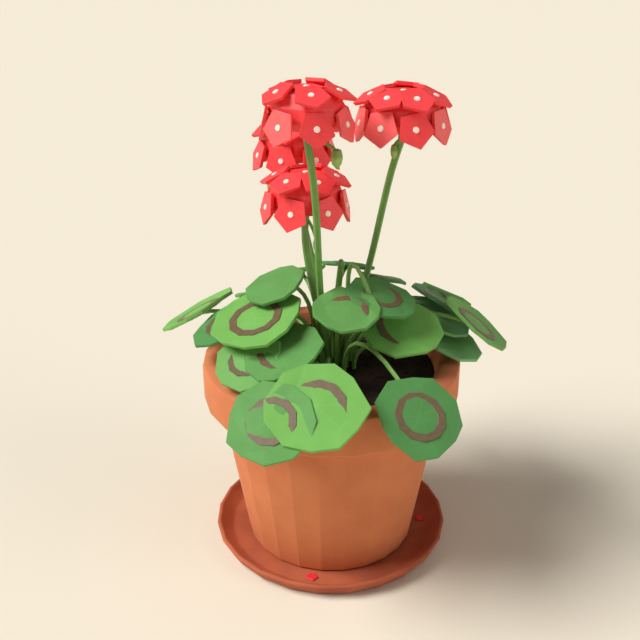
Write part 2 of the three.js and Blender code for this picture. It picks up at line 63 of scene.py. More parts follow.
MM = 0.001  # metres in a millimetre
GAP = 0.3  # between pieces that rest on or stand in each other
TOUCH = 1e-6  # metres within which two places are one
NEAR = 5e-5  # metres within which a corner is the one that is looked for
UP = Vector((0, 0, 1))
FRONT = -90.0  # the compass direction in which the plant looks

SIDES = 24  # of the pot, the saucer and the soil
CORNER = 264.4  # the compass direction of one of their corners
FIRED_EDGE = 0.5  # the rounding of the clay's edges
ROUND_UNDER = 40.0  # the clay is shaded round across edges flatter than this

SAUCER_FLOOR = 3.0
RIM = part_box("pot")[1].z / MM
SOIL_DEPTH = 10.0  # below the rim
SOIL_TOP = RIM - SOIL_DEPTH
HOLE_DEPTH = 9.0  # how deep the stems stand in the soil
STEM_FOOT = SOIL_TOP - HOLE_DEPTH + GAP + 0.1  # the height at which they end

INNER_ROOTS = 11.0  # the radii of the two rings on which the petioles come out of the soil
OUTER_ROOTS = 16.5

BLADE_MAP = "blade"  # the UV map of a leaf's blade

VALUE, LOW, HIGH, TO_LOW, TO_HIGH = range(5)  # the inputs of a Map Range node
SHARE, FIRST, SECOND = 0, 6, 7  # the inputs of a Mix node that mixes colours
MIXED = 2  # and its output

Piece = bpy.types.Object
Tree = bpy.types.NodeTree
Socket = bpy.types.NodeSocket
Place = tuple[float, float, float]
Ring = tuple[float, float]  # a radius and a height
Span = tuple[float, float]  # two numbers between which something runs


# ---------------- numbers


class Draw:
    """A repeatable source of numbers from -1 to 1."""

    def __init__(self, seed: int) -> None:
        """Starts the series at a seed."""
        self.state = seed

    def stray(self) -> float:
        """Returns the next number of the series."""
        self.state = (self.state * 1664525 + 1013904223) % 2**32
        return 2 * self.state / 2**32 - 1


def direction(compass: float, rise: float = 0.0) -> Vector:
    """Gives the unit vector in a compass direction.

    Args:
        compass: Degrees from +X towards +Y.
        rise: Degrees above the level.

    Returns:
        The unit vector.
    """
    flat, steep = math.radians(compass), math.radians(rise)
    along = math.cos(steep)
    return Vector((math.cos(flat) * along, math.sin(flat) * along, math.sin(steep)))


def linear(colour: str) -> tuple[float, float, float, float]:
    """Turns an sRGB hex colour into the linear colour that a shader takes.

    Args:
        colour: The colour as "#rrggbb".

    Returns:
        Linear red, green, blue and an alpha of 1.
    """
    shares = (int(colour[i : i + 2], 16) / 255 for i in (1, 3, 5))
    red, green, blue = (c / 12.92 if c <= 0.04045 else ((c + 0.055) / 1.055) ** 2.4 for c in shares)
    return red, green, blue, 1.0


def per_metre(size: float) -> float:
    """Gives the scale of a pattern on Object coordinates whose features measure size mm."""
    return 1 / (size * MM)


# ---------------- modelling


class Part(Enum):
    """What a selection in edit mode is made of."""

    VERT = "verts"
    EDGE = "edges"
    FACE = "faces"


class Fill(Enum):
    """How an outline is filled."""

    OPEN = "NOTHING"
    FAN = "TRIFAN"


def deselect() -> None:
    """Clears the selection, which every operator acts on."""
    bpy.ops.object.select_all(action="DESELECT")


def choose(*pieces: Piece) -> None:
    """Makes some pieces the whole selection, and the first of them active.

    Args:
        pieces: The objects.
    """
    deselect()
    for piece in pieces:
        piece.select_set(True)
    bpy.context.view_layer.objects.active = pieces[0]


@contextmanager
def editing(piece: Piece) -> Iterator[None]:
    """Opens one piece in edit mode with nothing selected, and closes it afterwards.

    Args:
        piece: The mesh object.
    """
    choose(piece)
    bpy.ops.object.mode_set(mode="EDIT")
    bpy.ops.mesh.select_mode(type="VERT")
    bpy.ops.mesh.select_all(action="DESELECT")
    yield
    bpy.ops.object.mode_set(mode="OBJECT")


def pick(piece: Piece, part: Part, test: Callable[[Vector], bool]) -> None:
    """Selects the parts of a piece in edit mode whose middle passes a test.

    Args:
        piece: The object in edit mode.
        part: Whether corners, edges or faces are picked.
        test: Says of a place, in metres, whether it is wanted.
    """
    bpy.ops.mesh.select_all(action="DESELECT")
    bpy.ops.mesh.select_mode(type=part.name)
    shape = bmesh.from_edit_mesh(piece.data)
    for item in getattr(shape, part.value):
        corners = [item] if part is Part.VERT else item.verts
        if test(sum((corner.co for corner in corners), Vector()) / len(corners)):
            item.select_set(True)
    shape.select_flush_mode()
    bmesh.update_edit_mesh(piece.data)


def pick_all() -> None:
    """Selects the whole of the piece in edit mode."""
    bpy.ops.mesh.select_all(action="SELECT")


def spread(share: float) -> None:
    """Moves what is picked to a share of its distance from the Z axis."""
    bpy.ops.transform.resize(value=(share, share, 1), center_override=(0, 0, 0))


def level(height: float) -> None:
    """Brings what is picked to one height."""
    bpy.ops.transform.resize(value=(1, 1, 0), center_override=(0, 0, height * MM))


def move(piece: Piece, start: Vector, end: Vector) -> None:
    """Moves the corner of a piece in edit mode that is at a place, in millimetres.

    Args:
        piece: The object in edit mode.
        start: Where the corner is.
        end: Where it goes.
    """
    pick(piece, Part.VERT, lambda at: (at - start * MM).length < NEAR)
    bpy.ops.transform.translate(value=(end - start) * MM)


def face_outwards() -> None:
    """Picks every face of the piece in edit mode and turns it outwards."""
    pick_all()
    bpy.ops.mesh.normals_make_consistent(inside=False)


def settle(piece: Piece) -> Piece:
    """Puts a piece's place, turn and scale into its mesh, so that it sits at the origin.

    Args:
        piece: The object.

    Returns:
        The same object.
    """
    choose(piece)
    bpy.ops.object.transform_apply(location=True, rotation=True, scale=True)
    return piece


def place(piece: Piece, matrix: Matrix) -> None:
    """Moves a finished piece by a matrix and settles it there."""
    piece.matrix_world = matrix
    settle(piece)


def outline(
    sides: int, radius: float, height: float, corner: float, fill: Fill = Fill.OPEN
) -> Piece:
    """Adds a level many-sided outline about the Z axis.

    Args:
        sides: Its sides.
        radius: From the axis to a corner.
        height: Above the origin.
        corner: The compass direction of one corner.
        fill: Whether and how it is filled.

    Returns:
        The new object.
    """
    deselect()
    bpy.ops.mesh.primitive_circle_add(
        vertices=sides,
        radius=radius * MM,
        fill_type=fill.value,
        location=(0, 0, height * MM),
        rotation=(0, 0, math.radians(corner - 90)),
    )
    return settle(bpy.context.active_object)


def turned(sides: int, rings: Sequence[Ring], corner: float, closed: bool = False) -> Piece:
    """Raises a round piece from ring to ring, as on a potter's wheel.

    Args:
        sides: The sides of each ring.
        rings: The radius and height of each ring. A last radius of 0 ends it in a point.
        corner: The compass direction of one corner.
        closed: Whether the last ring meets the first, so that the piece has a hole.

    Returns:
        The closed piece, its faces outwards.
    """
    piece = outline(sides, *rings[0], corner)
    with editing(piece):
        pick_all()
        for (radius, height), (next_radius, next_height) in pairwise(rings):
            rise = (0, 0, (next_height - height) * MM)
            bpy.ops.mesh.extrude_region_move(TRANSFORM_OT_translate={"value": rise})
            if next_radius == 0:
                bpy.ops.mesh.merge(type="CENTER")
            else:
                spread(next_radius / radius)
        pick_all()
        bpy.ops.mesh.remove_doubles(threshold=TOUCH)
        if not closed:
            bpy.ops.mesh.fill_holes(sides=0)
        face_outwards()
    return piece


def modify(piece: Piece, kind: str, **settings: Any) -> None:
    """Adds a modifier to a piece and applies it.

    Args:
        piece: The object.
        kind: The modifier's type.
        settings: Its settings.
    """
    choose(piece)
    modifier = piece.modifiers.new(kind.lower(), kind)
    for name, value in settings.items():
        setattr(modifier, name, value)
    bpy.ops.object.modifier_apply(modifier=modifier.name)


def soften(piece: Piece, width: float, over: float = 30.0, segments: int = 2) -> None:
    """Rounds the edges of a piece that are sharper than an angle.

    Args:
        piece: The object.
        width: The width of the rounding.
        over: The angle, in degrees.
        segments: The faces across the rounding.
    """
    modify(
        piece,
        "BEVEL",
        width=width * MM,
        segments=segments,
        limit_method="ANGLE",
        angle_limit=math.radians(over),
        harden_normals=False,
    )


def smooth(piece: Piece, under: float) -> None:
    """Shades a piece smooth across the edges that are flatter than an angle in degrees."""
    choose(piece)
    bpy.ops.object.shade_smooth_by_angle(angle=math.radians(under))


@dataclass(frozen=True)
class Knot:
    """A point of a stalk's line, with the points that its curve bends toward and its radius."""

    at: Vector
    before: Vector
    after: Vector
    radius: float


def rooted(collar: Vector, bend: Vector, radius: float) -> list[Knot]:
    """Gives the knots of the straight foot of a stalk, which stands in its hole in the soil.

    Args:
        collar: Where the straight foot ends, above the soil.
        bend: The point that the stalk bends toward from there.
        radius: The stalk's radius.

    Returns:
        The knots at its foot and at its collar.
    """
    foot = collar.xy.to_3d() + UP * STEM_FOOT
    halfway = foot.lerp(collar, 0.5)
    return [Knot(foot, foot, halfway, radius), Knot(collar, halfway, bend, radius)]


def stalk(knots: Sequence[Knot], sides: int, steps: int) -> Piece:
    """Grows a faceted stalk along a curve.

    Args:
        knots: The curve's points, in millimetres, each with the stalk's radius there.
        sides: The sides of its section, an even number from 4.
        steps: The straight lengths between two knots.

    Returns:
        The closed mesh.
    """
    deselect()
    bpy.ops.curve.primitive_bezier_curve_add()
    curve = bpy.context.active_object
    curve.data.bevel_depth = MM
    curve.data.bevel_resolution = sides // 2 - 2
    curve.data.resolution_u = steps
    curve.data.use_fill_caps = True
    spline = curve.data.splines[0]
    spline.bezier_points.add(len(knots) - 2)
    for point, knot in zip(spline.bezier_points, knots):
        point.handle_left_type = point.handle_right_type = "FREE"
        point.co = knot.at * MM
        point.handle_left, point.handle_right = knot.before * MM, knot.after * MM
        point.radius = knot.radius
    settle(curve)
    bpy.ops.object.convert(target="MESH")
    stem = bpy.context.active_object
    with editing(stem):
        pick_all()
        bpy.ops.mesh.remove_doubles(threshold=TOUCH)
        face_outwards()
        bpy.ops.mesh.faces_shade_flat()
    return stem


def aimed(at: Vector, along: Vector, turn: float) -> Matrix:
    """Gives the place of a part that is built round +Z.

    Args:
        at: Where its origin goes.
        along: Where its +Z points.
        turn: How far it turns about its own +Z first, in degrees.

    Returns:
        The matrix, in metres.
    """
    tilt = UP.rotation_difference(along).to_matrix().to_4x4()
    return Matrix.Translation(at * MM) @ tilt @ Matrix.Rotation(math.radians(turn), 4, "Z")


def copied(piece: Piece, matrix: Matrix) -> Piece:
    """Copies a piece, with a mesh of its own, to a place.

    Args:
        piece: The pattern.
        matrix: The place.

    Returns:
        The copy.
    """
    twin = piece.copy()
    twin.data = piece.data.copy()
    twin.data.transform(matrix)
    bpy.context.scene.collection.objects.link(twin)
    return twin


def discard(piece: Piece) -> None:
    """Removes a pattern piece once its copies are made."""
    bpy.data.objects.remove(piece)


def joined(pieces: Sequence[Piece], name: str) -> Piece:
    """Joins pieces into one object.

    Args:
        pieces: The objects.
        name: The name of the whole.

    Returns:
        The whole.
    """
    choose(*pieces)
    bpy.ops.object.join()
    whole = pieces[0]
    whole.name = whole.data.name = name
    return whole


def hand_over(piece: Piece, node: str) -> None:
    """Puts a finished piece in the place of a node of the frame.

    Args:
        piece: The finished object.
        node: The node that it stands for.
    """
    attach(piece, BODY)
    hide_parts(node)
    log.info("%s: %d faces for %s", piece.name, len(piece.data.polygons), node)


# ---------------- finishes


def add(
    tree: Tree, kind: str, inputs: dict[Any, Any] | None = None, **settings: Any
) -> bpy.types.Node:
    """Adds a node to a material, with its settings, values and links.

    Args:
        tree: The material's node tree.
        kind: The node's type, without the ShaderNode that the name of each begins with.
        inputs: A value, or an output socket to link, for each input by name or number.
        settings: The node's own settings.

    Returns:
        The node.
    """
    node = tree.nodes.new(f"ShaderNode{kind}")
    for name, value in settings.items():
        setattr(node, name, value)
    for socket, value in (inputs or {}).items():
        if isinstance(value, Socket):
            tree.links.new(value, node.inputs[socket])
        else:
            node.inputs[socket].default_value = value
    return node


def toned(tree: Tree, pattern: Socket, span: Span, tones: Sequence[str], **settings: Any) -> Socket:
    """Takes a colour from one tone to another by a pattern.

    Args:
        tree: The material's node tree.
        pattern: The pattern.
        span: The pattern's values at which the first tone ends and the second begins.
        tones: The two tones, as hex colours.
        settings: The settings of the step between them.

    Returns:
        The colour.
    """
    share = add(tree, "MapRange", {VALUE: pattern, LOW: span[0], HIGH: span[1]}, **settings)
    first, second = (linear(tone) for tone in tones)
    inputs = {SHARE: share.outputs[0], FIRST: first, SECOND: second}
    return add(tree, "Mix", inputs, data_type="RGBA").outputs[MIXED]


def shaded(tree: Tree, colour: Any, pattern: Socket, span: Span, shades: Span) -> Socket:
    """Darkens and lightens a colour by a pattern.

    Args:
        tree: The material's node tree.
        colour: The colour, or the socket that gives it.
        pattern: The pattern.
        span: The pattern's values at which the colour is darkest and lightest.
        shades: What it is multiplied by there.

    Returns:
        The shaded colour.
    """
    ends = dict(zip((VALUE, LOW, HIGH, TO_LOW, TO_HIGH), (pattern, *span, *shades)))
    inputs = {SHARE: 1.0, FIRST: colour, SECOND: add(tree, "MapRange", ends).outputs[0]}
    return add(tree, "Mix", inputs, data_type="RGBA", blend_type="MULTIPLY").outputs[MIXED]


@dataclass(frozen=True)
class Finish:
    """A finish, which makes its material when it is first asked for.

    Attributes:
        name: The material's name.
    """

    name: str

    def material(self) -> bpy.types.Material:
        """Returns the finish's material."""
        return bpy.data.materials.get(self.name) or self.mixed()

    def mixed(self) -> bpy.types.Material:
        """Makes the material round one shader.

        Returns:
            The new material.
        """
        material = bpy.data.materials.new(self.name)
        material.use_nodes = True
        tree = material.node_tree
        tree.nodes.clear()
        spot = add(tree, "TexCoord").outputs["Object"]
        shader = add(tree, "BsdfPrincipled", self.paint(tree, spot))
        add(tree, "OutputMaterial", {"Surface": shader.outputs["BSDF"]})
        return material

    def paint(self, tree: Tree, spot: Socket) -> dict[str, Any]:
        """Makes the colours and the relief, in a way of its own for each finish.

        Args:
            tree: The material's node tree.
            spot: The place on the piece, in metres.

        Returns:
            What goes into the shader's inputs, by their names.
        """
        raise NotImplementedError

    def dress(self, piece: Piece) -> None:
        """Gives the whole of a piece this finish."""
        piece.data.materials.clear()
        piece.data.materials.append(self.material())


@dataclass(frozen=True)
class Terracotta(Finish):
    """Unglazed terracotta, pressed and fired: matt, faintly clouded by the kiln, fine-grained.

    Attributes:
        clay: The colour of most of it.
        burnt: The darker clouds.
        cloud: The size of the clouds.
        grain: The size of the sandy grain, drawn coarser than life so that it shows.
        relief: The height of the grain.
    """

    clay: str = "#cf7a4b"
    burnt: str = "#c87347"
    cloud: float = 26.0
    grain: float = 1.3
    relief: float = 0.05

    def paint(self, tree: Tree, spot: Socket) -> dict[str, Any]:
        """Clouds the clay and raises its grain.

        Args:
            tree: The material's node tree.
            spot: The place on the piece, in metres.

        Returns:
            What goes into the shader's inputs.
        """
        noises = (
            add(tree, "TexNoise", {"Vector": spot, "Scale": per_metre(size), "Detail": detail})
            for size, detail in ((self.cloud, 3.0), (self.grain, 2.0))
        )
        cloud, grain = (noise.outputs["Fac"] for noise in noises)
        tones = (self.clay, self.burnt)
        clay = toned(tree, cloud, (0.35, 0.7), tones, interpolation_type="SMOOTHSTEP")
        relief = {"Height": grain, "Distance": self.relief * MM, "Strength": 0.6}
        dry = {VALUE: cloud, TO_LOW: 0.78, TO_HIGH: 0.9}
        return {
            "Base Color": shaded(tree, clay, grain, (0.3, 0.7), (0.97, 1.02)),
            "Roughness": add(tree, "MapRange", dry).outputs[0],
            "Normal": add(tree, "Bump", relief).outputs[0],
            "Specular IOR Level": 0.5,
        }


@dataclass(frozen=True)
class PottingSoil(Finish):
    """Damp peat and loam: nearly black, with browner crumbs.

    Attributes:
        peat: The damp hollows.
        loam: The drier crumbs.
        lump: The size of the patches that are damp or dry.
        crumb: The size of a crumb.
        relief: The height of the crumbs.
    """

    peat: str = "#1d1511"
    loam: str = "#3a2b23"
    lump: float = 14.0
    crumb: float = 2.2
    relief: float = 0.3

    def paint(self, tree: Tree, spot: Socket) -> dict[str, Any]:
        """Speckles the soil and raises its crumbs.

        Args:
            tree: The material's node tree.
            spot: The place on the piece, in metres.

        Returns:
            What goes into the shader's inputs.
        """
        noises = (
            add(tree, "TexNoise", {"Vector": spot, "Scale": per_metre(size), "Detail": detail})
            for size, detail in ((self.lump, 2.0), (self.crumb, 4.0))
        )
        lump, crumb = (noise.outputs["Fac"] for noise in noises)
        dryness = add(tree, "Math", {0: lump, 1: crumb}, operation="MULTIPLY").outputs[0]
        relief = {"Height": crumb, "Distance": self.relief * MM, "Strength": 0.5}
        return {
            "Base Color": toned(tree, dryness, (0.12, 0.42), (self.peat, self.loam)),
            "Normal": add(tree, "Bump", relief).outputs[0],
            "Roughness": 0.95,
            "Specular IOR Level": 0.15,
        }


class Green(Enum):
    """The greens of the leaves, from young to old, each with the paler green of its veins.

    The bluish green is painted shade and sheen. The palest is painted light, for the two leaves on
    the right that stand in the shade of the others.
    """

    LIGHT = ("#72b053", "#85bd67")
    SPRING = ("#6fa955", "#82b868")
    MID = ("#5e984e", "#71a761")
    DEEP = ("#528d4b", "#659c5d")
    # Painted shade and painted sheen: a darker, bluer green for a leaf in shade.
    BLUISH = ("#558856", "#669866")
    # Painted light: a paler green that lightens leaves lying in the shade of others.
    PALE = ("#83bd7f", "#93c98e")


@dataclass(frozen=True)
class LeafSkin(Finish):
    """The felted upper skin of a zonal leaf: matt, softly mottled, with palmate veins.

    The veins follow the map BLADE_MAP, which has the petiole's end at its middle.

    Attributes:
        green: The leaf's green.
        veins: The number of main veins in the full turn.
        vein: The width of a vein as a share of the blade's diameter.
        vein_relief: The height of a vein.
        mottle: The size of the mottles.
        felt: The size of the felt, drawn coarser than life so that it shows.
        felt_relief: The height of the felt.
    """

    green: Green = Green.MID
    veins: int = 7
    vein: float = 0.012
    vein_relief: float = 0.15
    mottle: float = 11.0
    felt: float = 0.8
    felt_relief: float = 0.04

    def paint(self, tree: Tree, spot: Socket) -> dict[str, Any]:
        """Mottles the green, draws the veins and raises the felt.

        Args:
            tree: The material's node tree.
            spot: The place on the piece, in metres.

        Returns:
            What goes into the shader's inputs.
        """
        noises = (
            add(tree, "TexNoise", {"Vector": spot, "Scale": per_metre(size), "Detail": detail})
            for size, detail in ((self.mottle, 2.0), (self.felt, 1.0))
        )
        mottle, felt = (noise.outputs["Fac"] for noise in noises)
        ribs = self.draw_veins(tree)
        flesh, rib = (linear(colour) for colour in self.green.value)
        veined = add(tree, "Mix", {SHARE: ribs, FIRST: flesh, SECOND: rib}, data_type="RGBA")
        raised = {"Height": ribs, "Distance": self.vein_relief * MM, "Strength": 0.4}
        felted = {"Height": felt, "Distance": self.felt_relief * MM, "Strength": 0.5}
        felted["Normal"] = add(tree, "Bump", raised).outputs[0]
        return {
            "Base Color": shaded(tree, veined.outputs[MIXED], mottle, (0.3, 0.7), (0.96, 1.04)),
            "Normal": add(tree, "Bump", felted).outputs[0],
            "Roughness": 0.65,
            "Specular IOR Level": 0.3,
        }

    def draw_veins(self, tree: Tree) -> Socket:
        """Draws the veins, which run out from the middle of the blade and fade on the way.

        Args:
            tree: The material's node tree.

        Returns:
            How much of a place is vein.
        """
        blade = add(tree, "UVMap", uv_map=BLADE_MAP).outputs[0]
        out = add(tree, "VectorMath", {0: blade, 1: (0.5, 0.5, 0)}, operation="SUBTRACT").outputs[0]
        reach = add(tree, "VectorMath", {0: out}, operation="LENGTH").outputs["Value"]
        way = add(tree, "SeparateXYZ", {0: out}).outputs
        angle = add(tree, "Math", {0: way[1], 1: way[0]}, operation="ARCTAN2").outputs[0]
        between = {0: angle, 1: math.pi / self.veins}
        off = add(tree, "Math", between, operation="PINGPONG").outputs[0]
        aside = add(tree, "Math", {0: off, 1: reach}, operation="MULTIPLY").outputs[0]
        width = {VALUE: aside, LOW: 0.0, HIGH: self.vein, TO_LOW: 0.3, TO_HIGH: 0.0}
        line = add(tree, "MapRange", width, interpolation_type="SMOOTHSTEP").outputs[0]
        fading = {VALUE: reach, LOW: 0.08, HIGH: 0.48, TO_LOW: 1.0, TO_HIGH: 0.15}
        fade = add(tree, "MapRange", fading).outputs[0]
        return add(tree, "Math", {0: line, 1: fade}, operation="MULTIPLY").outputs[0]


@dataclass(frozen=True)
class Flesh(Finish):
    """Plain plant tissue, such as a stem, a petal or a zone: matt, with a faint grain along +Z.

    Attributes:
        colour: The colour of most of it.
        shade: The darker streaks.
        streak: The width of a streak, drawn coarser than life so that it shows.
        stretch: How much longer than wide a streak is.
        relief: The height of a streak.
    """

    colour: str
    shade: str
    streak: float = 1.6
    stretch: float = 1.0
    relief: float = 0.05

    def paint(self, tree: Tree, spot: Socket) -> dict[str, Any]:
        """Streaks the tissue and gives it a soft relief.

        Args:
            tree: The material's node tree.
            spot: The place on the piece, in metres.

        Returns:
            What goes into the shader's inputs.
        """
        scale = (1.0, 1.0, 1 / self.stretch)
        along = add(tree, "Mapping", {"Vector": spot, "Scale": scale}).outputs[0]
        noise = {"Vector": along, "Scale": per_metre(self.streak), "Detail": 2.0}
        streak = add(tree, "TexNoise", noise).outputs["Fac"]
        relief = {"Height": streak, "Distance": self.relief * MM, "Strength": 0.5}
        return {
            "Base Color": toned(tree, streak, (0.35, 0.65), (self.colour, self.shade)),
            "Normal": add(tree, "Bump", relief).outputs[0],
            "Roughness": 0.5,
            "Specular IOR Level": 0.5,
        }


@dataclass(frozen=True)
class StudioPaper(Finish):
    """The seamless matt paper that the plant stands on.

    Attributes:
        paper: Its colour.
        fibre: The size of its fibres, which are too faint to see.
    """

    paper: str = "#e8dfcc"
    fibre: float = 3.0

    def paint(self, tree: Tree, spot: Socket) -> dict[str, Any]:
        """Colours the paper and its fibres.

        Args:
            tree: The material's node tree.
            spot: The place on the floor, in metres.

        Returns:
            What goes into the shader's inputs.
        """
        fibre = add(tree, "TexNoise", {"Vector": spot, "Scale": per_metre(self.fibre)})
        colour = linear(self.paper)
        return {
            "Base Color": shaded(tree, colour, fibre.outputs["Fac"], (0.0, 1.0), (0.995, 1.005)),
            "Roughness": 1.0,
            "Specular IOR Level": 0.0,
        }


# Low-fired clay that has dried right through: pale orange, dusty, without a gleam.
POT_CLAY = Terracotta("pale_terracotta")
# The same clay from a hotter part of the kiln: redder, darker, with stronger clouds.
SAUCER_CLAY = Terracotta("red_terracotta", clay="#b65f3c", burnt="#a55233")
# Damp peat with loam in it: it swallows the light, and only dry crumbs stand out.
SOIL_FILL = PottingSoil("damp_peat")
# The leaf's band of red pigment on green tissue, which the eye takes for a dull brown.
ZONE = Flesh("leaf_zone", "#715d43", "#67543b", streak=2.4)
# Downy young stalks, their grain drawn out lengthwise: yellower and paler than the blades.
PETIOLE_SKIN = Flesh("petiole_skin", "#79a753", "#6b9947", stretch=6.0)
# Older, woodier stalks with longer streaks: a deeper, plainer green.
SCAPE_SKIN = Flesh("scape_skin", "#6a9a45", "#5e8e3d", stretch=8.0)
# Tight bud skin that light comes through: a soft yellow-green.
BUD_SKIN = Flesh("bud_skin", "#9dba5c", "#91ae53")
# The leafy sepals that cap a bud: thicker, so darker than what they hold.
SEPAL_SKIN = Flesh("sepal_skin", "#7b9c4a", "#6f9043")
# Fresh petals, waxy and finely grained: a clear, even scarlet.
PETAL_SKIN = Flesh("petal_skin", "#fa4246", "#f33e42", streak=3.0)
# Some florets of the lower row: the same red, paler and pinker.
PALE_PETAL_SKIN = Flesh("pale_petal_skin", "#fb6261", "#f65c5c", streak=3.0)
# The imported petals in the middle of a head: the scarlet again, a touch deeper.
HEART_SKIN = Flesh("heart_skin", "#f84246", "#ef3d42", streak=3.0)
# The unpigmented throat of a floret: a warm, milky white.
EYE_SKIN = Flesh("eye_skin", "#fbf0e0", "#f6e9d6", streak=1.0)
# Petals that have dropped and begun to dry: a darker, heavier red.
FALLEN_SKIN = Flesh("fallen_petal_skin", "#e52c34", "#db2730", streak=2.0)


# ---------------- saucer, pot and soil


@dataclass
class Saucer:
    """The shallow dish that the pot stands in.

    Attributes:
        foot: The radius that it stands on.
        outer_foot: The radius above the rounded foot.
        lip: The outer radius of the lip.
        lip_width: The width of the lip.
        height: The height of the lip.
        floor: The radius of the flat floor.
    """

    foot: float = 79.0
    outer_foot: float = 81.5
    lip: float = 86.6
    lip_width: float = 4.0
    height: float = 10.5
    floor: float = 73.0

    def build(self) -> None:
        """Turns the saucer and dresses it."""
        inner = self.lip - self.lip_width
        piece = turned(
            SIDES,
            [
                (self.foot, 0),
                (self.outer_foot, 1.2),
                (self.lip - 0.4, self.height - 1.6),  # the lip's rolled outer edge
                (self.lip - 0.8, self.height - 0.4),
                (self.lip - 1.8, self.height),
                (inner + 1, self.height),  # and its inner edge
                (inner, self.height - 0.9),
                (self.floor + 3, SAUCER_FLOOR + 1.2),  # the hollow round the floor
                (self.floor, SAUCER_FLOOR),
            ],
            CORNER,
        )
        soften(piece, FIRED_EDGE)
        smooth(piece, ROUND_UNDER)
        SAUCER_CLAY.dress(piece)
        piece.name = "saucer_fired"
        hand_over(piece, "saucer")


@dataclass
class Pot:
    """The tapered pot with its deep collar.

    Attributes:
        height: From its foot to the rim.
        rim: The outer radius of the rim.
        rim_fall: How far its outer edge lies under its crest.
        crest: Where the rim begins to fall outwards.
        lip: Where it begins to fall inwards.
        mouth: The radius of the mouth.
        collar: The height of the collar.
        body: The radius of the body under the collar.
        base: The radius of the foot.
        wall: The thickness of the wall.
        floor: The thickness of the floor.
        drain: The radius of the drainage hole.
    """

    height: float = 141.7
    rim: float = 90.0
    rim_fall: float = 1.5
    crest: float = 84.6
    lip: float = 79.6
    mouth: float = 76.3
    collar: float = 29.0
    body: float = 79.5
    base: float = 61.2
    wall: float = 7.0
    floor: float = 9.0
    drain: float = 9.0

    def inner_wall(self) -> list[Ring]:
        """Shapes the inner wall, which the soil lies against.

        Returns:
            Its rings, from the mouth down, their heights above the pot's foot.
        """
        return [
            (self.mouth, self.height - 1),
            (self.mouth - 3.2, self.height - SOIL_DEPTH),
            (self.body - self.wall, self.height - self.collar - 6),  # where the collar ends
            (self.base - self.wall + 3, self.floor + 5),  # the hollow round the floor
            (self.base - self.wall - 2, self.floor),
        ]

    def build(self) -> None:
        """Turns the pot, shades its collar smooth and its body in flats, and dresses it."""
        collar_foot = self.height - self.collar
        rings = [
            (self.drain, self.floor),
            (self.drain, 0),
            (self.base - 1, 0),  # the worn edge of the foot
            (self.base, 1),
            (self.body, collar_foot),
            (self.rim - 1.5, collar_foot),  # the collar's lower edge
            (self.rim, collar_foot + 1.5),
            (self.rim, self.height - self.rim_fall - 1),  # and its upper one
            (self.rim - 0.8, self.height - self.rim_fall),
            (self.crest, self.height),
            (self.lip, self.height),
            *self.inner_wall(),
            (self.drain, self.floor),
        ]
        foot = RIM - self.height
        rings = [(radius, height + foot) for radius, height in rings]
        piece = turned(SIDES, rings, CORNER, closed=True)
        soften(piece, FIRED_EDGE)
        smooth(piece, ROUND_UNDER)
        under, outside = (foot + collar_foot) * MM, 0.98 * self.base * MM
        with editing(piece):
            pick(piece, Part.FACE, lambda at: at.z < under and at.xy.length > outside)
            bpy.ops.mesh.faces_shade_flat()
        POT_CLAY.dress(piece)
        piece.name = "pot_fired"
        hand_over(piece, "pot")


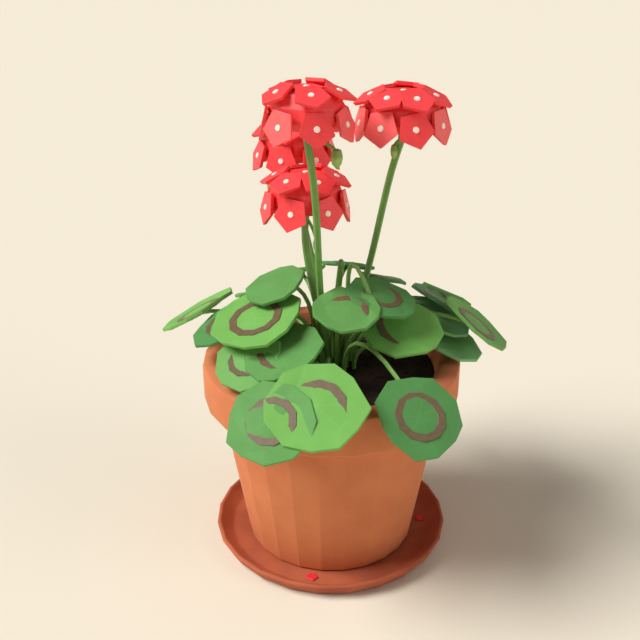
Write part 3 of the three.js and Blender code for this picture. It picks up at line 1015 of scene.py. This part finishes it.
@dataclass
class Soil:
    """The soil in the pot, with a crumbly top.

    Attributes:
        pot: The pot that it fills.
        clear: The gap to the pot's wall.
        swell: The height of the soft lumps.
        lump: Their size.
        crumbs: How many loose crumbs lie on top.
    """

    pot: Pot
    clear: float = 1.0
    swell: float = 2.2
    lump: float = 16.0
    crumbs: int = 170

    RINGS: ClassVar[int] = 14  # of faces across its top
    EVEN_EDGE: ClassVar[float] = 6.0  # from the mouth's radius to the first lumps
    BARE_EDGE: ClassVar[float] = 8.0  # and to the first crumbs
    BARE_MIDDLE: ClassVar[float] = 18.0  # the radius free of crumbs, where the stems stand
    CRUMB_RISE: ClassVar[float] = 0.3  # of a crumb's middle above the top
    SEED: ClassVar[int] = 77

    def build(self) -> None:
        """Fills the pot, roughens the top and scatters the crumbs."""
        wall = self.pot.inner_wall()[1:]
        foot = RIM - self.pot.height
        sides = [(radius - self.clear, height + foot) for radius, height in reversed(wall)]
        sides[0] = (sides[0][0], sides[0][1] + GAP)
        edge, top = sides[-1]
        steps = [(edge * ring / self.RINGS, top) for ring in range(self.RINGS - 1, 0, -1)]
        piece = turned(3 * SIDES, [*sides, *steps, (0, top)], CORNER)
        self.roughen(piece, top)
        whole = joined([piece, *self.scatter(top)], "soil_crumbly")
        SOIL_FILL.dress(whole)
        hand_over(whole, "soil")

    def roughen(self, piece: Piece, top: float) -> None:
        """Heaves the top of the fill into soft lumps, away from its edge.

        Args:
            piece: The fill.
            top: The height of its top.
        """
        edge, under = (self.pot.mouth - self.EVEN_EDGE) * MM, (top - 0.1) * MM
        group = piece.vertex_groups.new(name="top")
        for vertex in piece.data.vertices:
            if vertex.co.z > under and vertex.co.xy.length < edge:
                group.add([vertex.index], 1.0, "REPLACE")
        lumps = bpy.data.textures.new("soil_lumps", "CLOUDS")
        lumps.noise_scale = self.lump * MM
        modify(
            piece,
            "DISPLACE",
            texture=lumps,
            texture_coords="LOCAL",
            direction="Z",
            strength=self.swell * MM,
            mid_level=0.5,
            vertex_group="top",
        )
        piece.vertex_groups.clear()
        with editing(piece):
            pick_all()
            bpy.ops.mesh.faces_shade_flat()

    def scatter(self, top: float) -> list[Piece]:
        """Lays loose crumbs on the soil.

        Args:
            top: The height of the soil's top.

        Returns:
            The crumbs.
        """
        deselect()
        bpy.ops.mesh.primitive_ico_sphere_add(subdivisions=1, radius=MM)
        crumb = bpy.context.active_object
        draw = Draw(self.SEED)
        width = self.pot.mouth - self.BARE_MIDDLE - self.BARE_EDGE
        crumbs = []
        for _ in range(self.crumbs):
            reach = self.BARE_MIDDLE + width * math.sqrt(abs(draw.stray()))
            spot = direction(180 * draw.stray()) * reach
            size = 0.9 + 0.6 * draw.stray() ** 2  # most are small, a few half as large again
            squash = Matrix.Diagonal((size, size * (1 + 0.3 * draw.stray()), 0.7 * size, 1))
            turn = Matrix.Rotation(3 * draw.stray(), 4, "Z")
            spot.z = top + self.CRUMB_RISE
            crumbs.append(copied(crumb, Matrix.Translation(spot * MM) @ turn @ squash))
        discard(crumb)
        return crumbs


# ---------------- leaves


@dataclass(frozen=True)
class Zone:
    """How a leaf's brown zone ring lies on its blade, which hides what is sunk in it.

    Attributes:
        level: The height of its middle above the blade's shoulder.
        lift: How much higher its outer edge is on the side toward which it rises.
        toward: That side, in degrees from the blade's fall line.
        outer: Its outer radius, as a share of the blade's.
        inner: Its inner radius.
    """

    level: float = 0.5
    lift: float = 0.0
    toward: float = 0.0
    outer: float = 0.6
    inner: float = 0.42


@dataclass(frozen=True)
class Curl:
    """The part of a leaf's edge that curls up more than the rest.

    Attributes:
        toward: Its direction, in degrees from the blade's fall line.
        each_way: The angle to each side of it.
        up: How far it curls up.
    """

    toward: float = 0.0
    each_way: float = 0.0
    up: float = 0.0


@dataclass(frozen=True)
class Leaf:
    """One leaf: its blade, its zone ring and its petiole.

    Attributes:
        node: The node that it belongs to.
        at: The middle of the blade, its height above the rim.
        face: The compass direction that it faces.
        droop: How far it droops in that direction.
        radius: Of the blade.
        turn: Of the blade's corners.
        seed: Of the random draw of its corners.
        root: The compass direction of the petiole's foot.
        roots: The radius of the ring on which the petiole comes out of the soil.
        green: The blade's green.
        zone: Its zone ring, if it has one.
        cup: How far the edge is cupped up.
        curl: The part of its edge that curls up more.
        arch: How far back the petiole aims, as a share of the radius, and how high it rises
            first, as a share of its height.
        crest: The point that a petiole bends toward which climbs over its own blade.
        land: Where such a petiole lands, along the blade's fall line and across it.
    """

    node: str
    at: Place
    face: float
    droop: float
    radius: float
    turn: float
    seed: int
    root: float
    roots: float = OUTER_ROOTS
    green: Green = Green.MID
    zone: Zone | None = Zone()
    cup: float = 0.0
    curl: Curl = Curl()
    arch: tuple[float, float] = (0.95, 0.55)
    crest: Place | None = None
    land: tuple[float, float] = (0.0, 0.0)

    SIDES: ClassVar[int] = 11
    THICKNESS: ClassVar[float] = 2.4
    FLAT_SHARE: ClassVar[float] = 0.64  # the radius within which the blade is flat
    DOME: ClassVar[float] = 1.0  # how far its middle stands up
    ANGLE_STRAY: ClassVar[float] = 0.22  # of a corner, as a share of the angle between two
    RADIUS_STRAY: ClassVar[float] = 0.08  # of a corner, as a share of the radius
    EDGE_STRAY: ClassVar[float] = 0.9  # of a corner's height
    EDGE: ClassVar[float] = 0.35  # the rounding of the blade's edge
    ZONE_EDGE: ClassVar[float] = 0.15  # and of the ring's
    ZONE_ROOT: ClassVar[float] = 1.0  # how deep the ring is rooted in the blade
    ZONE_SUNK: ClassVar[float] = 0.5  # how deep the lowest part of its top lies
    ZONE_TURN: ClassVar[float] = 16.0  # how far its corners are turned against the blade's
    ZONE_DROP: ClassVar[float] = 5.0  # how far its root is drawn down before it is made level
    PETIOLE: ClassVar[float] = 1.5  # the petiole's radius
    COLLAR: ClassVar[float] = 4.0  # how far it comes straight up out of the soil
    BITE: ClassVar[float] = 0.3  # how deep its end is sunk in the blade's underside
    TOP_BITE: ClassVar[float] = 0.6  # and in its upper side
    TUCK: ClassVar[float] = 4.0  # how far under its end lies the point that it bends toward
    CLIMB: ClassVar[float] = 25.0  # how far under the crest it begins to bend over
    SPARE: ClassVar[float] = 20.0  # added to its height before the arch takes its share

    def axes(self) -> tuple[Vector, Vector, Vector, Vector]:
        """Finds how the blade lies.

        Returns:
            Its fall line, the way across it, its upper side and its middle.
        """
        tip = direction(self.face, -self.droop)
        up = direction(self.face, 90 - self.droop)
        return tip, up.cross(tip), up, Vector(self.at) + UP * RIM

    def matrix(self) -> Matrix:
        """Finds the blade's place.

        Returns:
            The matrix, in metres.
        """
        tip, side, up, middle = self.axes()
        turn = Matrix((tip, side, up)).transposed().to_4x4()
        return Matrix.Translation(middle * MM) @ turn

    def corners(self) -> list[Place]:
        """Draws the corners of the blade.

        Returns:
            The angle, the reach and the lift of each.
        """
        draw = Draw(self.seed)
        step = 360 / self.SIDES
        curl = self.curl
        corners = []
        for i in range(self.SIDES):
            angle = self.turn + step * (i + self.ANGLE_STRAY * draw.stray())
            reach = self.radius * (1 + self.RADIUS_STRAY * draw.stray())
            lift = self.cup + self.EDGE_STRAY * draw.stray()
            aside = abs((angle - curl.toward + 180) % 360 - 180)
            corners.append((angle, reach, lift + (curl.up if aside < curl.each_way else 0)))
        return corners

    def blade(self) -> Piece:
        """Shapes the blade in its own level axes, with its middle at the origin.

        Returns:
            The blade.
        """
        flat = self.FLAT_SHARE * self.radius
        step = 360 / self.SIDES
        blade = outline(self.SIDES, flat, 0, self.turn, Fill.FAN)
        with editing(blade):
            pick(blade, Part.EDGE, lambda at: at.length > 0.8 * flat * MM)
            bpy.ops.mesh.extrude_region_move()
            spread(1 / self.FLAT_SHARE)
            move(blade, Vector(), UP * self.DOME)
            for i, (angle, reach, lift) in enumerate(self.corners()):
                spoke = direction(self.turn + step * i)
                move(blade, spoke * flat, direction(angle) * flat)
                move(blade, spoke * self.radius, direction(angle) * reach + UP * lift)
            pick_all()
            bpy.ops.mesh.quads_convert_to_tris(quad_method="FIXED")
            face_outwards()
        modify(blade, "SOLIDIFY", thickness=self.THICKNESS * MM, offset=0.0)
        with editing(blade):
            face_outwards()
        soften(blade, self.EDGE, over=45)
        self.map_blade(blade)
        LeafSkin(f"leaf_skin_{self.green.name.lower()}", green=self.green).dress(blade)
        return blade

    def map_blade(self, blade: Piece) -> None:
        """Gives the blade its map, seen from above, with the petiole's end at the middle.

        Args:
            blade: The blade, in its own level axes.
        """
        layer = blade.data.uv_layers.get(BLADE_MAP) or blade.data.uv_layers.new(name=BLADE_MAP)
        width = 2 * self.radius * MM
        for loop in blade.data.loops:
            at = blade.data.vertices[loop.vertex_index].co
            layer.data[loop.index].uv = (0.5 + at.x / width, 0.5 + at.y / width)

    def ring(self) -> Piece:
        """Shapes the zone ring in the blade's own level axes: a low, flat-topped collar.

        Returns:
            The ring.
        """
        zone = self.zone
        outer, inner = zone.outer * self.radius, zone.inner * self.radius
        ring = outline(self.SIDES, outer, 0, self.turn + self.ZONE_TURN)
        with editing(ring):
            pick_all()
            bpy.ops.mesh.extrude_region_move()
            spread(inner / outer)
        tilt = Quaternion(direction(zone.toward - 90), math.asin(zone.lift / outer))
        shoulder = self.THICKNESS / 2
        middle = Matrix.Translation(UP * (shoulder + zone.level) * MM)
        place(ring, middle @ tilt.to_matrix().to_4x4())
        with editing(ring):
            sunk = shoulder - self.ZONE_SUNK
            pick(ring, Part.VERT, lambda at: at.z < sunk * MM)
            level(sunk)
            pick_all()
            down = (0, 0, -self.ZONE_DROP * MM)
            bpy.ops.mesh.extrude_region_move(TRANSFORM_OT_translate={"value": down})
            level(shoulder - self.ZONE_ROOT)
            face_outwards()
        soften(ring, self.ZONE_EDGE, over=60, segments=1)
        ZONE.dress(ring)
        return ring

    def petiole(self) -> Piece:
        """Grows the petiole: straight up out of the soil, then over to the blade.

        Returns:
            The petiole.
        """
        tip, side, up, middle = self.axes()
        root = direction(self.root) * self.roots
        collar = root.xy.to_3d() + UP * (SOIL_TOP + self.COLLAR)
        if self.crest:
            handle = Vector(self.crest) + UP * RIM
            rise = root.xy.to_3d() + UP * (handle.z - self.CLIMB)
            end = middle + up * (self.THICKNESS / 2 - self.TOP_BITE)
            end += tip * self.land[0] + side * self.land[1]
        else:
            back, high = self.arch
            end = middle + up * (self.BITE - self.THICKNESS / 2)
            handle = end - tip * back * self.radius - up * self.TUCK
            rise = collar + UP * high * (end.z - SOIL_TOP + self.SPARE)
        knots = [*rooted(collar, rise, self.PETIOLE), Knot(end, handle, end, self.PETIOLE)]
        stem = stalk(knots, sides=6, steps=9)
        PETIOLE_SKIN.dress(stem)
        return stem

    def build(self) -> Piece:
        """Builds the whole leaf in its place.

        Returns:
            The leaf.
        """
        parts = [self.blade()]
        if self.zone:
            parts.append(self.ring())
        for part in parts:
            place(part, self.matrix())
        return joined([*parts, self.petiole()], f"{self.node}_part")


LEAVES = [
    Leaf(
        "leaf_pair_front", (-35.7, -100.7, 4), face=-105, droop=35.5, radius=27.3, turn=6,
        seed=8538, cup=-0.6, curl=Curl(130, 42, 2), root=-115, zone=Zone(0.53, 0.5, 98),
    ),
    Leaf(
        "leaf_pair_front", (-8.4, -96, 11.4), face=-101, droop=32, radius=31, turn=4, seed=5909,
        root=-95, green=Green.LIGHT, zone=Zone(-0.44, 1.5, 155),
    ),
    Leaf(
        "leaf_03", (54.4, -87, -0.2), face=-65, droop=38, radius=28, turn=5, seed=8159, cup=-0.3,
        root=-58, arch=(1.8, 1.4), green=Green.DEEP, zone=Zone(0.45, 0.25, 0),
    ),
    Leaf(
        "leaf_pair_left", (-53.9, -46.8, 17.6), face=-121.5, droop=30, radius=22.7, turn=18,
        seed=1099, curl=Curl(120, 22, 2), root=-148, green=Green.SPRING,
        zone=Zone(-0.4, 1.4, 335),
    ),
    Leaf(
        "leaf_pair_left", (-32.2, -46.5, 23.5), face=-128, droop=21, radius=27, turn=32,
        seed=2678, roots=INNER_ROOTS, root=-124, zone=Zone(-0.1, 0.8, 315),
    ),
    Leaf(
        "leaf_06", (-50.1, -23.7, 36.7), face=-140, droop=20, radius=30.4, turn=32, seed=4211,
        cup=0.3, roots=INNER_ROOTS, root=-160, green=Green.LIGHT,
        zone=Zone(0.6, outer=0.62, inner=0.44),
    ),
    Leaf(
        "leaf_07", (-73.6, -6.1, 24.9), face=-165, droop=25, radius=23.5, turn=22, seed=107,
        root=-176, green=Green.DEEP, zone=Zone(0.2, 0.3, 320),
    ),
    Leaf(
        "leaf_08", (-97.9, 35.5, 15.7), face=159, droop=31, radius=29.5, turn=6, seed=108,
        cup=1.5, root=160, green=Green.LIGHT,
    ),
    Leaf(
        "leaf_09", (-38.4, -3.1, 52), face=-157, droop=22, radius=21.5, turn=17, seed=660,
        roots=INNER_ROOTS, root=172, zone=None,
    ),
    Leaf(
        "leaf_10", (-54.7, 84, 13.2), face=122, droop=25, radius=22, turn=0, seed=110, root=138,
    ),
    Leaf(
        "leaf_pair_middle", (9.9, -37, 48.6), face=-81, droop=16, radius=22.8, turn=21,
        seed=6492, curl=Curl(92, 35, 1.6), roots=INNER_ROOTS, root=-72,
        zone=Zone(-0.1, 1.2, 140, 0.62, 0.43),
    ),
    Leaf(
        "leaf_pair_middle", (33.2, -18, 50.4), face=-36, droop=15, radius=23, turn=11, seed=5297,
        curl=Curl(275, 20, -2.5), roots=INNER_ROOTS, root=-10, crest=(8, -2, 90),
        land=(-6.7, -4.9), green=Green.DEEP, zone=Zone(0.35, 0.35, 340),
    ),
    Leaf(
        "leaf_13", (47.6, -21, 29.2), face=-74, droop=17, radius=27.2, turn=9, seed=7013,
        roots=INNER_ROOTS, root=-42, green=Green.LIGHT, zone=Zone(-0.6, 1.3, 275, 0.66, 0.46),
    ),
    # Leaves 14 and 15 take the green with painted light, as the others shade them.
    Leaf(
        "leaf_14", (75.7, 22.5, 19), face=-2, droop=23, radius=25, turn=9, seed=114, root=10,
        arch=(1.03, 0.65), green=Green.PALE, zone=Zone(-0.4, 1, 200),
    ),
    Leaf(
        "leaf_15", (80.6, 7.7, 9.2), face=-12, droop=20.5, radius=26.8, turn=0, seed=115,
        root=-16, green=Green.PALE, zone=None,
    ),
    Leaf(
        "leaf_16", (100.6, 4.3, 20.5), face=2, droop=38, radius=28, turn=14, seed=116, cup=2,
        root=35, arch=(1.09, 0.86), green=Green.SPRING,
    ),
    # Leaf 17 takes the green with painted shade and painted sheen.
    Leaf(
        "leaf_17", (77.2, 36.1, 26.3), face=21, droop=30, radius=21.5, turn=3, seed=117, cup=1,
        roots=INNER_ROOTS, root=22, arch=(1.12, 0.9), green=Green.BLUISH,
    ),
    Leaf(
        "leaf_18", (88, 74, 13), face=46, droop=38, radius=22.5, turn=11, seed=118, root=48,
    ),
    Leaf(
        "leaf_19", (12.5, 78, 37), face=73, droop=24, radius=20, turn=0, seed=119, root=97,
        green=Green.DEEP,
    ),
    Leaf(
        "leaf_20", (39, 83, 24), face=56, droop=20, radius=19, turn=7, seed=120,
        roots=INNER_ROOTS, root=64, green=Green.DEEP,
    ),
    Leaf(
        "leaf_21", (-24.5, 57.7, 40.1), face=114, droop=22, radius=20, turn=19, seed=121,
        roots=INNER_ROOTS, root=134,
    ),
    Leaf(
        "leaf_22", (40, 98, 0), face=68, droop=36, radius=26, turn=4, seed=122, cup=0.6, root=64,
    ),
]


@dataclass
class Foliage:
    """All the leaves, two that have grown through each other as one piece.

    Attributes:
        leaves: The leaves, those of one piece with the same node.
    """

    leaves: Sequence[Leaf]

    def build(self) -> None:
        """Builds each leaf and joins the two of a pair."""
        nodes: dict[str, list[Piece]] = {}
        for leaf in self.leaves:
            nodes.setdefault(leaf.node, []).append(leaf.build())
        for node, parts in nodes.items():
            hand_over(joined(parts, f"{node}_grown"), node)


# ---------------- flowers


@dataclass(frozen=True)
class Floret:
    """A five-sided floret on a short neck, with a pale eye, looking along +Z.

    Attributes:
        radius: To its corners.
        thickness: Of its plate.
        neck: The radius of the neck under the plate.
        neck_length: How far the neck goes down to its point.
        eye: The radius of the eye.
        eye_rise: How far the eye stands out.
        eye_sides: The eye's sides.
    """

    radius: float = 12.0
    thickness: float = 2.4
    neck: float = 6.0
    neck_length: float = 11.0
    eye: float = 2.0
    eye_rise: float = 0.7
    eye_sides: int = 10

    def build(self) -> Piece:
        """Builds the pattern from which the florets are copied.

        Returns:
            The pattern.
        """
        rings = [
            (self.radius, 0),
            (0.94 * self.radius, -self.thickness),
            (self.neck, -self.thickness),
            (0, -self.thickness - self.neck_length),
        ]
        plate = turned(5, rings, FRONT)
        soften(plate, 0.3, over=50)
        PETAL_SKIN.dress(plate)
        rings = [(self.eye, -0.6), (self.eye, 0.25), (0.85 * self.eye, self.eye_rise)]
        eye = turned(self.eye_sides, rings, FRONT)
        EYE_SKIN.dress(eye)
        return joined([plate, eye], "floret")


@dataclass(frozen=True)
class Bud:
    """A bud that hangs from its flower stem's top.

    Attributes:
        to: The compass direction in which it hangs out.
        reach: How far out.
        drop: How far below the head's bottom.
        radius: Its radius.
        length: Its length.
    """

    to: float
    reach: float
    drop: float
    radius: float
    length: float

    SIDES: ClassVar[int] = 7
    STALK: ClassVar[float] = 1.1  # its stalk's radius
    SUNK: ClassVar[float] = 4.0  # how far down the flower stem the stalk starts

    def build(self, head_bottom: Vector) -> list[Piece]:
        """Builds the bud and its stalk.

        Args:
            head_bottom: The middle of the head's underside.

        Returns:
            The parts.
        """
        top = head_bottom - UP * self.SUNK
        knee = top + direction(self.to) * 0.75 * self.reach - UP * 0.35 * self.drop
        end = top + direction(self.to) * self.reach + UP * (1 - self.drop)
        knots = [
            Knot(top, top, top.lerp(knee, 2 / 3), self.STALK),
            Knot(end, end.lerp(knee, 2 / 3), end, self.STALK),
        ]
        thread = stalk(knots, sides=6, steps=5)
        SCAPE_SKIN.dress(thread)
        rings = [
            (0.55 * self.radius, 0.8),
            (self.radius, -0.38 * self.length),
            (0.8 * self.radius, -0.7 * self.length),
            (0, -self.length),
        ]
        drop = turned(self.SIDES, rings, FRONT)
        soften(drop, 0.25, over=50, segments=1)
        BUD_SKIN.dress(drop)
        rings = [
            (0.3 * self.radius, 1.6),
            (0.72 * self.radius, 0.9),
            (0.98 * self.radius, -0.26 * self.length),
            (0.8 * self.radius, -0.2 * self.length),
        ]
        cap = turned(self.SIDES, rings, FRONT)
        SEPAL_SKIN.dress(cap)
        for part in (drop, cap):
            place(part, Matrix.Translation(end * MM))
        return [thread, drop, cap]


@dataclass(frozen=True)
class Flower:
    """One flower: its stem with the buds on it, and its head.

    Attributes:
        number: Its number, as in its nodes' names.
        at: The middle of the head, its height above the rim.
        root: Where the stem comes out of the soil.
        bends: The two points that the stem bends toward, their heights above the rim.
        upper: The number of florets in the upper row, and the direction of the first.
        lower: The same for the lower row.
        size: The head's size as a share of the full one.
        buds: The buds.
        tall: The height of its rows of florets as a share of the usual one.
        pale: Which florets of the lower row are paler, counted from its first.
    """

    number: int
    at: Place
    root: tuple[float, float]
    bends: tuple[Place, Place]
    upper: tuple[int, float]
    lower: tuple[int, float]
    size: float
    buds: tuple[Bud, ...]
    tall: float = 1.0
    pale: tuple[int, ...] = ()

    STEM: ClassVar[float] = 2.3  # the stem's radius
    COLLAR: ClassVar[float] = 8.0  # how far it comes straight up out of the soil
    NECK: ClassVar[float] = 5.0  # and how far it goes straight up into the head
    UPPER: ClassVar[Ring] = (20.5, 9.5)  # where the florets of the upper row sit
    UPPER_RISE: ClassVar[float] = 61.0  # and how far up they look
    LOWER: ClassVar[Ring] = (27.5, -9.5)
    LOWER_RISE: ClassVar[float] = 16.0
    TOP: ClassVar[float] = 11.4  # the height of the top floret
    HEART: ClassVar[tuple[Ring, ...]] = (  # its closed petals, from its foot up
        (10, -15), (19.5, -13), (24, -7.5), (23.5, 1), (18, 9), (13, 9.8), (0, 10.4),
    )
    HEART_SIDES: ClassVar[int] = 8
    RISE_STRAY: ClassVar[float] = 5.0  # of a floret, in degrees
    TURN_STRAY: ClassVar[float] = 14.0

    def bottom(self) -> Vector:
        """Gives the middle of the head's underside, a gap below it."""
        return Vector(self.at) + UP * (RIM + self.HEART[0][1] * self.size - GAP)

    def florets(self) -> list[tuple[Vector, float, float, float]]:
        """Spreads the florets over the head.

        Returns:
            Each one's place on the head, its direction, its rise and its turn.
        """
        draw = Draw(300 + self.number)
        spots = [(0.0, self.TOP, 0.0, 90.0)]
        for (count, first), (out, height), rise in (
            (self.upper, self.UPPER, self.UPPER_RISE),
            (self.lower, self.LOWER, self.LOWER_RISE),
        ):
            spots += [(out, height, first + 360 * i / count, rise) for i in range(count)]
        florets = []
        for out, height, compass, rise in spots:
            looks_up = min(90.0, rise + self.RISE_STRAY * draw.stray())
            turn = compass + 90 + self.TURN_STRAY * draw.stray()
            at = direction(compass) * out + UP * height * self.tall
            florets.append((at, compass, looks_up, turn))
        return florets

    def head(self, pattern: Piece) -> None:
        """Builds the head.

        Args:
            pattern: The floret to copy.
        """
        heart = turned(self.HEART_SIDES, self.HEART, FRONT)
        soften(heart, 0.4, over=15)
        HEART_SKIN.dress(heart)
        parts = [heart]
        palest = [1 + self.upper[0] + number for number in self.pale]
        for number, (at, compass, rise, turn) in enumerate(self.florets()):
            floret = copied(pattern, aimed(at, direction(compass, rise), turn))
            if number in palest:
                floret.data.materials[0] = PALE_PETAL_SKIN.material()
            parts.append(floret)
        head = joined(parts, f"flower_head_{self.number:02d}_bloom")
        middle = (Vector(self.at) + UP * RIM) * MM
        place(head, Matrix.Translation(middle) @ Matrix.Scale(self.size, 4))
        hand_over(head, f"flower_head_{self.number:02d}")

    def stem(self) -> None:
        """Grows the stem and hangs its buds."""
        top = self.bottom()
        neck = top - UP * self.NECK
        halfway = neck.lerp(top, 0.5)
        first, second = (Vector(bend) + UP * RIM for bend in self.bends)
        knots = [
            *rooted(Vector((*self.root, SOIL_TOP + self.COLLAR)), first, self.STEM),
            Knot(neck, second, halfway, self.STEM),
            Knot(top, halfway, top, self.STEM),
        ]
        stem = stalk(knots, sides=6, steps=12)
        SCAPE_SKIN.dress(stem)
        parts = [part for bud in self.buds for part in bud.build(top)]
        stem = joined([stem, *parts], f"flower_stem_{self.number:02d}_grown")
        hand_over(stem, f"flower_stem_{self.number:02d}")


FLOWERS = [
    Flower(
        1, (-15.4, -34, 179), (-1, -8), ((-13, -9.5, 59.5), (-5, -35.5, 105)),
        upper=(5, -80.4), lower=(7, -75.4), size=0.95, buds=(Bud(0, 18, 10, 3.8, 11),),
        pale=(1, 3, 5, 6),
    ),
    Flower(
        2, (43.5, -2, 171.9), (5.5, 6), ((33, 39, 53.5), (31, 9, 111)),
        upper=(7, -71), lower=(8, -77), size=1.01, buds=(Bud(200, 5, 6, 2.4, 8.5),),
        tall=0.885, pale=(1, 3, 6, 7),
    ),
    Flower(
        3, (-26.3, 66.8, 136.5), (-3, 9.5), ((-7.5, 6, 66), (-26.5, 57, 80)),
        upper=(6, -105), lower=(7, -109), size=1.02,
        buds=(Bud(180, 19, 12.5, 2.4, 8), Bud(60, 13, 9, 2.8, 9)), pale=(2, 4),
    ),
    Flower(
        4, (-17.6, 8, 116.5), (-6.5, -1), ((-4, 1, 29), (-22, 9, 67.5)),
        upper=(6, -125), lower=(7, -108.6), size=1.0, buds=(Bud(-8, 7, 17, 2.2, 9),), pale=(2, 4),
    ),
]


# ---------------- shoots and petals


@dataclass(frozen=True)
class YoungShoot:
    """A short, closed shoot.

    Attributes:
        number: Its number, as in its node's name.
        at: The top of its tip, its height above the rim.
        root: Where it comes out of the soil.
        radius: Its radius.
    """

    number: int
    at: Place
    root: tuple[float, float]
    radius: float = 2.2

    SIDES: ClassVar[int] = 7
    COLLAR: ClassVar[float] = 5.0  # how far it comes straight up out of the soil
    TIP: ClassVar[tuple[Ring, ...]] = ((0.7, -1), (1.25, 0.4), (0.8, 1.9), (0, 2.4))  # in radii

    def build(self) -> None:
        """Grows the shoot and its pointed tip."""
        rings = [(out * self.radius, height * self.radius) for out, height in self.TIP]
        collar = Vector((*self.root, SOIL_TOP + self.COLLAR))
        top = Vector(self.at) + UP * (RIM - rings[-1][1])
        bend = collar.xy.to_3d() + UP * (collar.z + top.z) / 2
        knots = [
            *rooted(collar, collar.lerp(bend, 2 / 3), self.radius),
            Knot(top, top.lerp(bend, 2 / 3), top, self.radius),
        ]
        stem = stalk(knots, sides=8, steps=6)
        tip = turned(self.SIDES, rings, FRONT)
        soften(tip, 0.3, over=40)
        place(tip, Matrix.Translation(top * MM))
        for part in (stem, tip):
            SCAPE_SKIN.dress(part)
        shoot = joined([stem, tip], f"young_shoot_{self.number:02d}_grown")
        hand_over(shoot, f"young_shoot_{self.number:02d}")


@dataclass(frozen=True)
class FallenPetal:
    """A petal that lies in the saucer.

    Attributes:
        number: Its number, as in its node's name.
        at: Where it lies.
        radius: To its corners.
        turn: In degrees.
    """

    number: int
    at: tuple[float, float]
    radius: float
    turn: float

    THICKNESS: ClassVar[float] = 0.8

    def build(self) -> None:
        """Shapes the petal."""
        rings = [
            (self.radius, 0),
            (self.radius, 0.6 * self.THICKNESS),
            (0.9 * self.radius, self.THICKNESS),
        ]
        piece = turned(5, rings, FRONT + self.turn)
        place(piece, Matrix.Translation(Vector((*self.at, SAUCER_FLOOR + GAP)) * MM))
        FALLEN_SKIN.dress(piece)
        piece.name = f"fallen_petal_{self.number:02d}_dry"
        hand_over(piece, f"fallen_petal_{self.number:02d}")


# ---------------- studio


@dataclass(frozen=True)
class Lamp:
    """A distant soft light.

    Attributes:
        name: Its name.
        compass: The compass direction that it shines from.
        rise: Its height above the horizon, in degrees.
        width: The angle that it fills, in degrees.
        share: Its share of the light that falls on the floor.
    """

    name: str
    compass: float
    rise: float
    width: float
    share: float


@dataclass(frozen=True)
class Studio:
    """The floor, the light and the camera.

    Attributes:
        camera: Where the camera stands.
        pitch: How far it looks down.
        yaw: How far it looks to the left.
        view: Its field of view.
        floor: The radius of the floor, in metres, far beyond what the camera sees.
        exposure: The light that a white floor gives back.
        lamps: The lamps.
        sky_share: The sky's share of the light that falls on the floor.
        horizon: The colour of the horizon, which is the lit floor's.
        haze: The heights, 1 being straight up, between which it gives way to the sky.
    """

    camera: Place = (0.0, -554.5, 421.3)
    pitch: float = 24.32
    yaw: float = 0.825
    view: float = 39.97
    floor: float = 9.0
    exposure: float = 1.1
    lamps: tuple[Lamp, ...] = (
        Lamp("key", 188.5, 46, 34, 0.78),
        Lamp("front_fill", -22, 22, 40, 0.07),
        Lamp("top_fill", 10, 72, 60, 0.1),
    )
    sky_share: float = 0.05
    horizon: str = "#f2e8d5"
    haze: Span = (0.12, 0.3)

    def build(self) -> None:
        """Sets the studio up round the plant."""
        self.lay_floor()
        self.set_camera()
        self.set_lights()

    def lay_floor(self) -> None:
        """Lays the seamless floor."""
        deselect()
        bpy.ops.mesh.primitive_circle_add(vertices=64, radius=self.floor, fill_type="NGON")
        floor = settle(bpy.context.active_object)
        floor.name = "floor"
        StudioPaper("studio_paper").dress(floor)

    def set_camera(self) -> None:
        """Stands the camera where the plant is seen from."""
        deselect()
        bpy.ops.object.camera_add(
            location=Vector(self.camera) * MM,
            rotation=(math.radians(90 - self.pitch), 0, math.radians(self.yaw)),
        )
        camera = bpy.context.active_object
        camera.data.lens_unit = "FOV"
        camera.data.sensor_fit = "HORIZONTAL"
        camera.data.angle = math.radians(self.view)
        bpy.context.scene.camera = camera

    def set_lights(self) -> None:
        """Sets a soft key from the left, a low fill from the right, a high one and the sky."""
        bpy.context.scene.view_settings.view_transform = "Standard"
        self.set_sky()
        for lamp in self.lamps:
            deselect()
            bpy.ops.object.light_add(type="SUN")
            light = bpy.context.active_object
            light.name = lamp.name
            light.data.angle = math.radians(lamp.width)
            full = math.pi / math.sin(math.radians(lamp.rise))
            light.data.energy = lamp.share * self.exposure * full
            way = direction(lamp.compass, lamp.rise)
            light.rotation_euler = way.to_track_quat("Z", "Y").to_euler()

    def set_sky(self) -> None:
        """Makes the sky an even, weak fill, which meets the floor's colour at the horizon."""
        world = bpy.data.worlds.new("studio_sky")
        world.use_nodes = True
        tree = world.node_tree
        tree.nodes.clear()
        way = add(tree, "TexCoord").outputs["Generated"]
        height = add(tree, "SeparateXYZ", {0: way}).outputs[2]
        ends = {VALUE: height, LOW: self.haze[0], HIGH: self.haze[1]}
        fade = add(tree, "MapRange", ends, interpolation_type="SMOOTHSTEP").outputs[0]
        overhead = (*[self.sky_share * self.exposure] * 3, 1.0)
        inputs = {SHARE: fade, FIRST: linear(self.horizon), SECOND: overhead}
        colour = add(tree, "Mix", inputs, data_type="RGBA").outputs[MIXED]
        sky = add(tree, "Background", {"Color": colour})
        add(tree, "OutputWorld", {"Surface": sky.outputs[0]})
        bpy.context.scene.world = world


# ---------------- the whole


def main() -> None:
    """Builds the plant piece by piece, then the studio, and notes each piece's faces."""
    pot = Pot()
    Saucer().build()
    pot.build()
    Soil(pot).build()
    Foliage(LEAVES).build()
    pattern = Floret().build()
    for flower in FLOWERS:
        flower.stem()
        flower.head(pattern)
    discard(pattern)
    YoungShoot(1, (6.3, 13, 66), (2.5, 15)).build()
    FallenPetal(1, (-12.6, -67), 4.2, 10).build()
    FallenPetal(2, (68.6, 1), 3.8, 40).build()
    Studio().build()


if __name__ == "__main__":
    logging.basicConfig(level=logging.INFO, format="%(message)s")
    main()
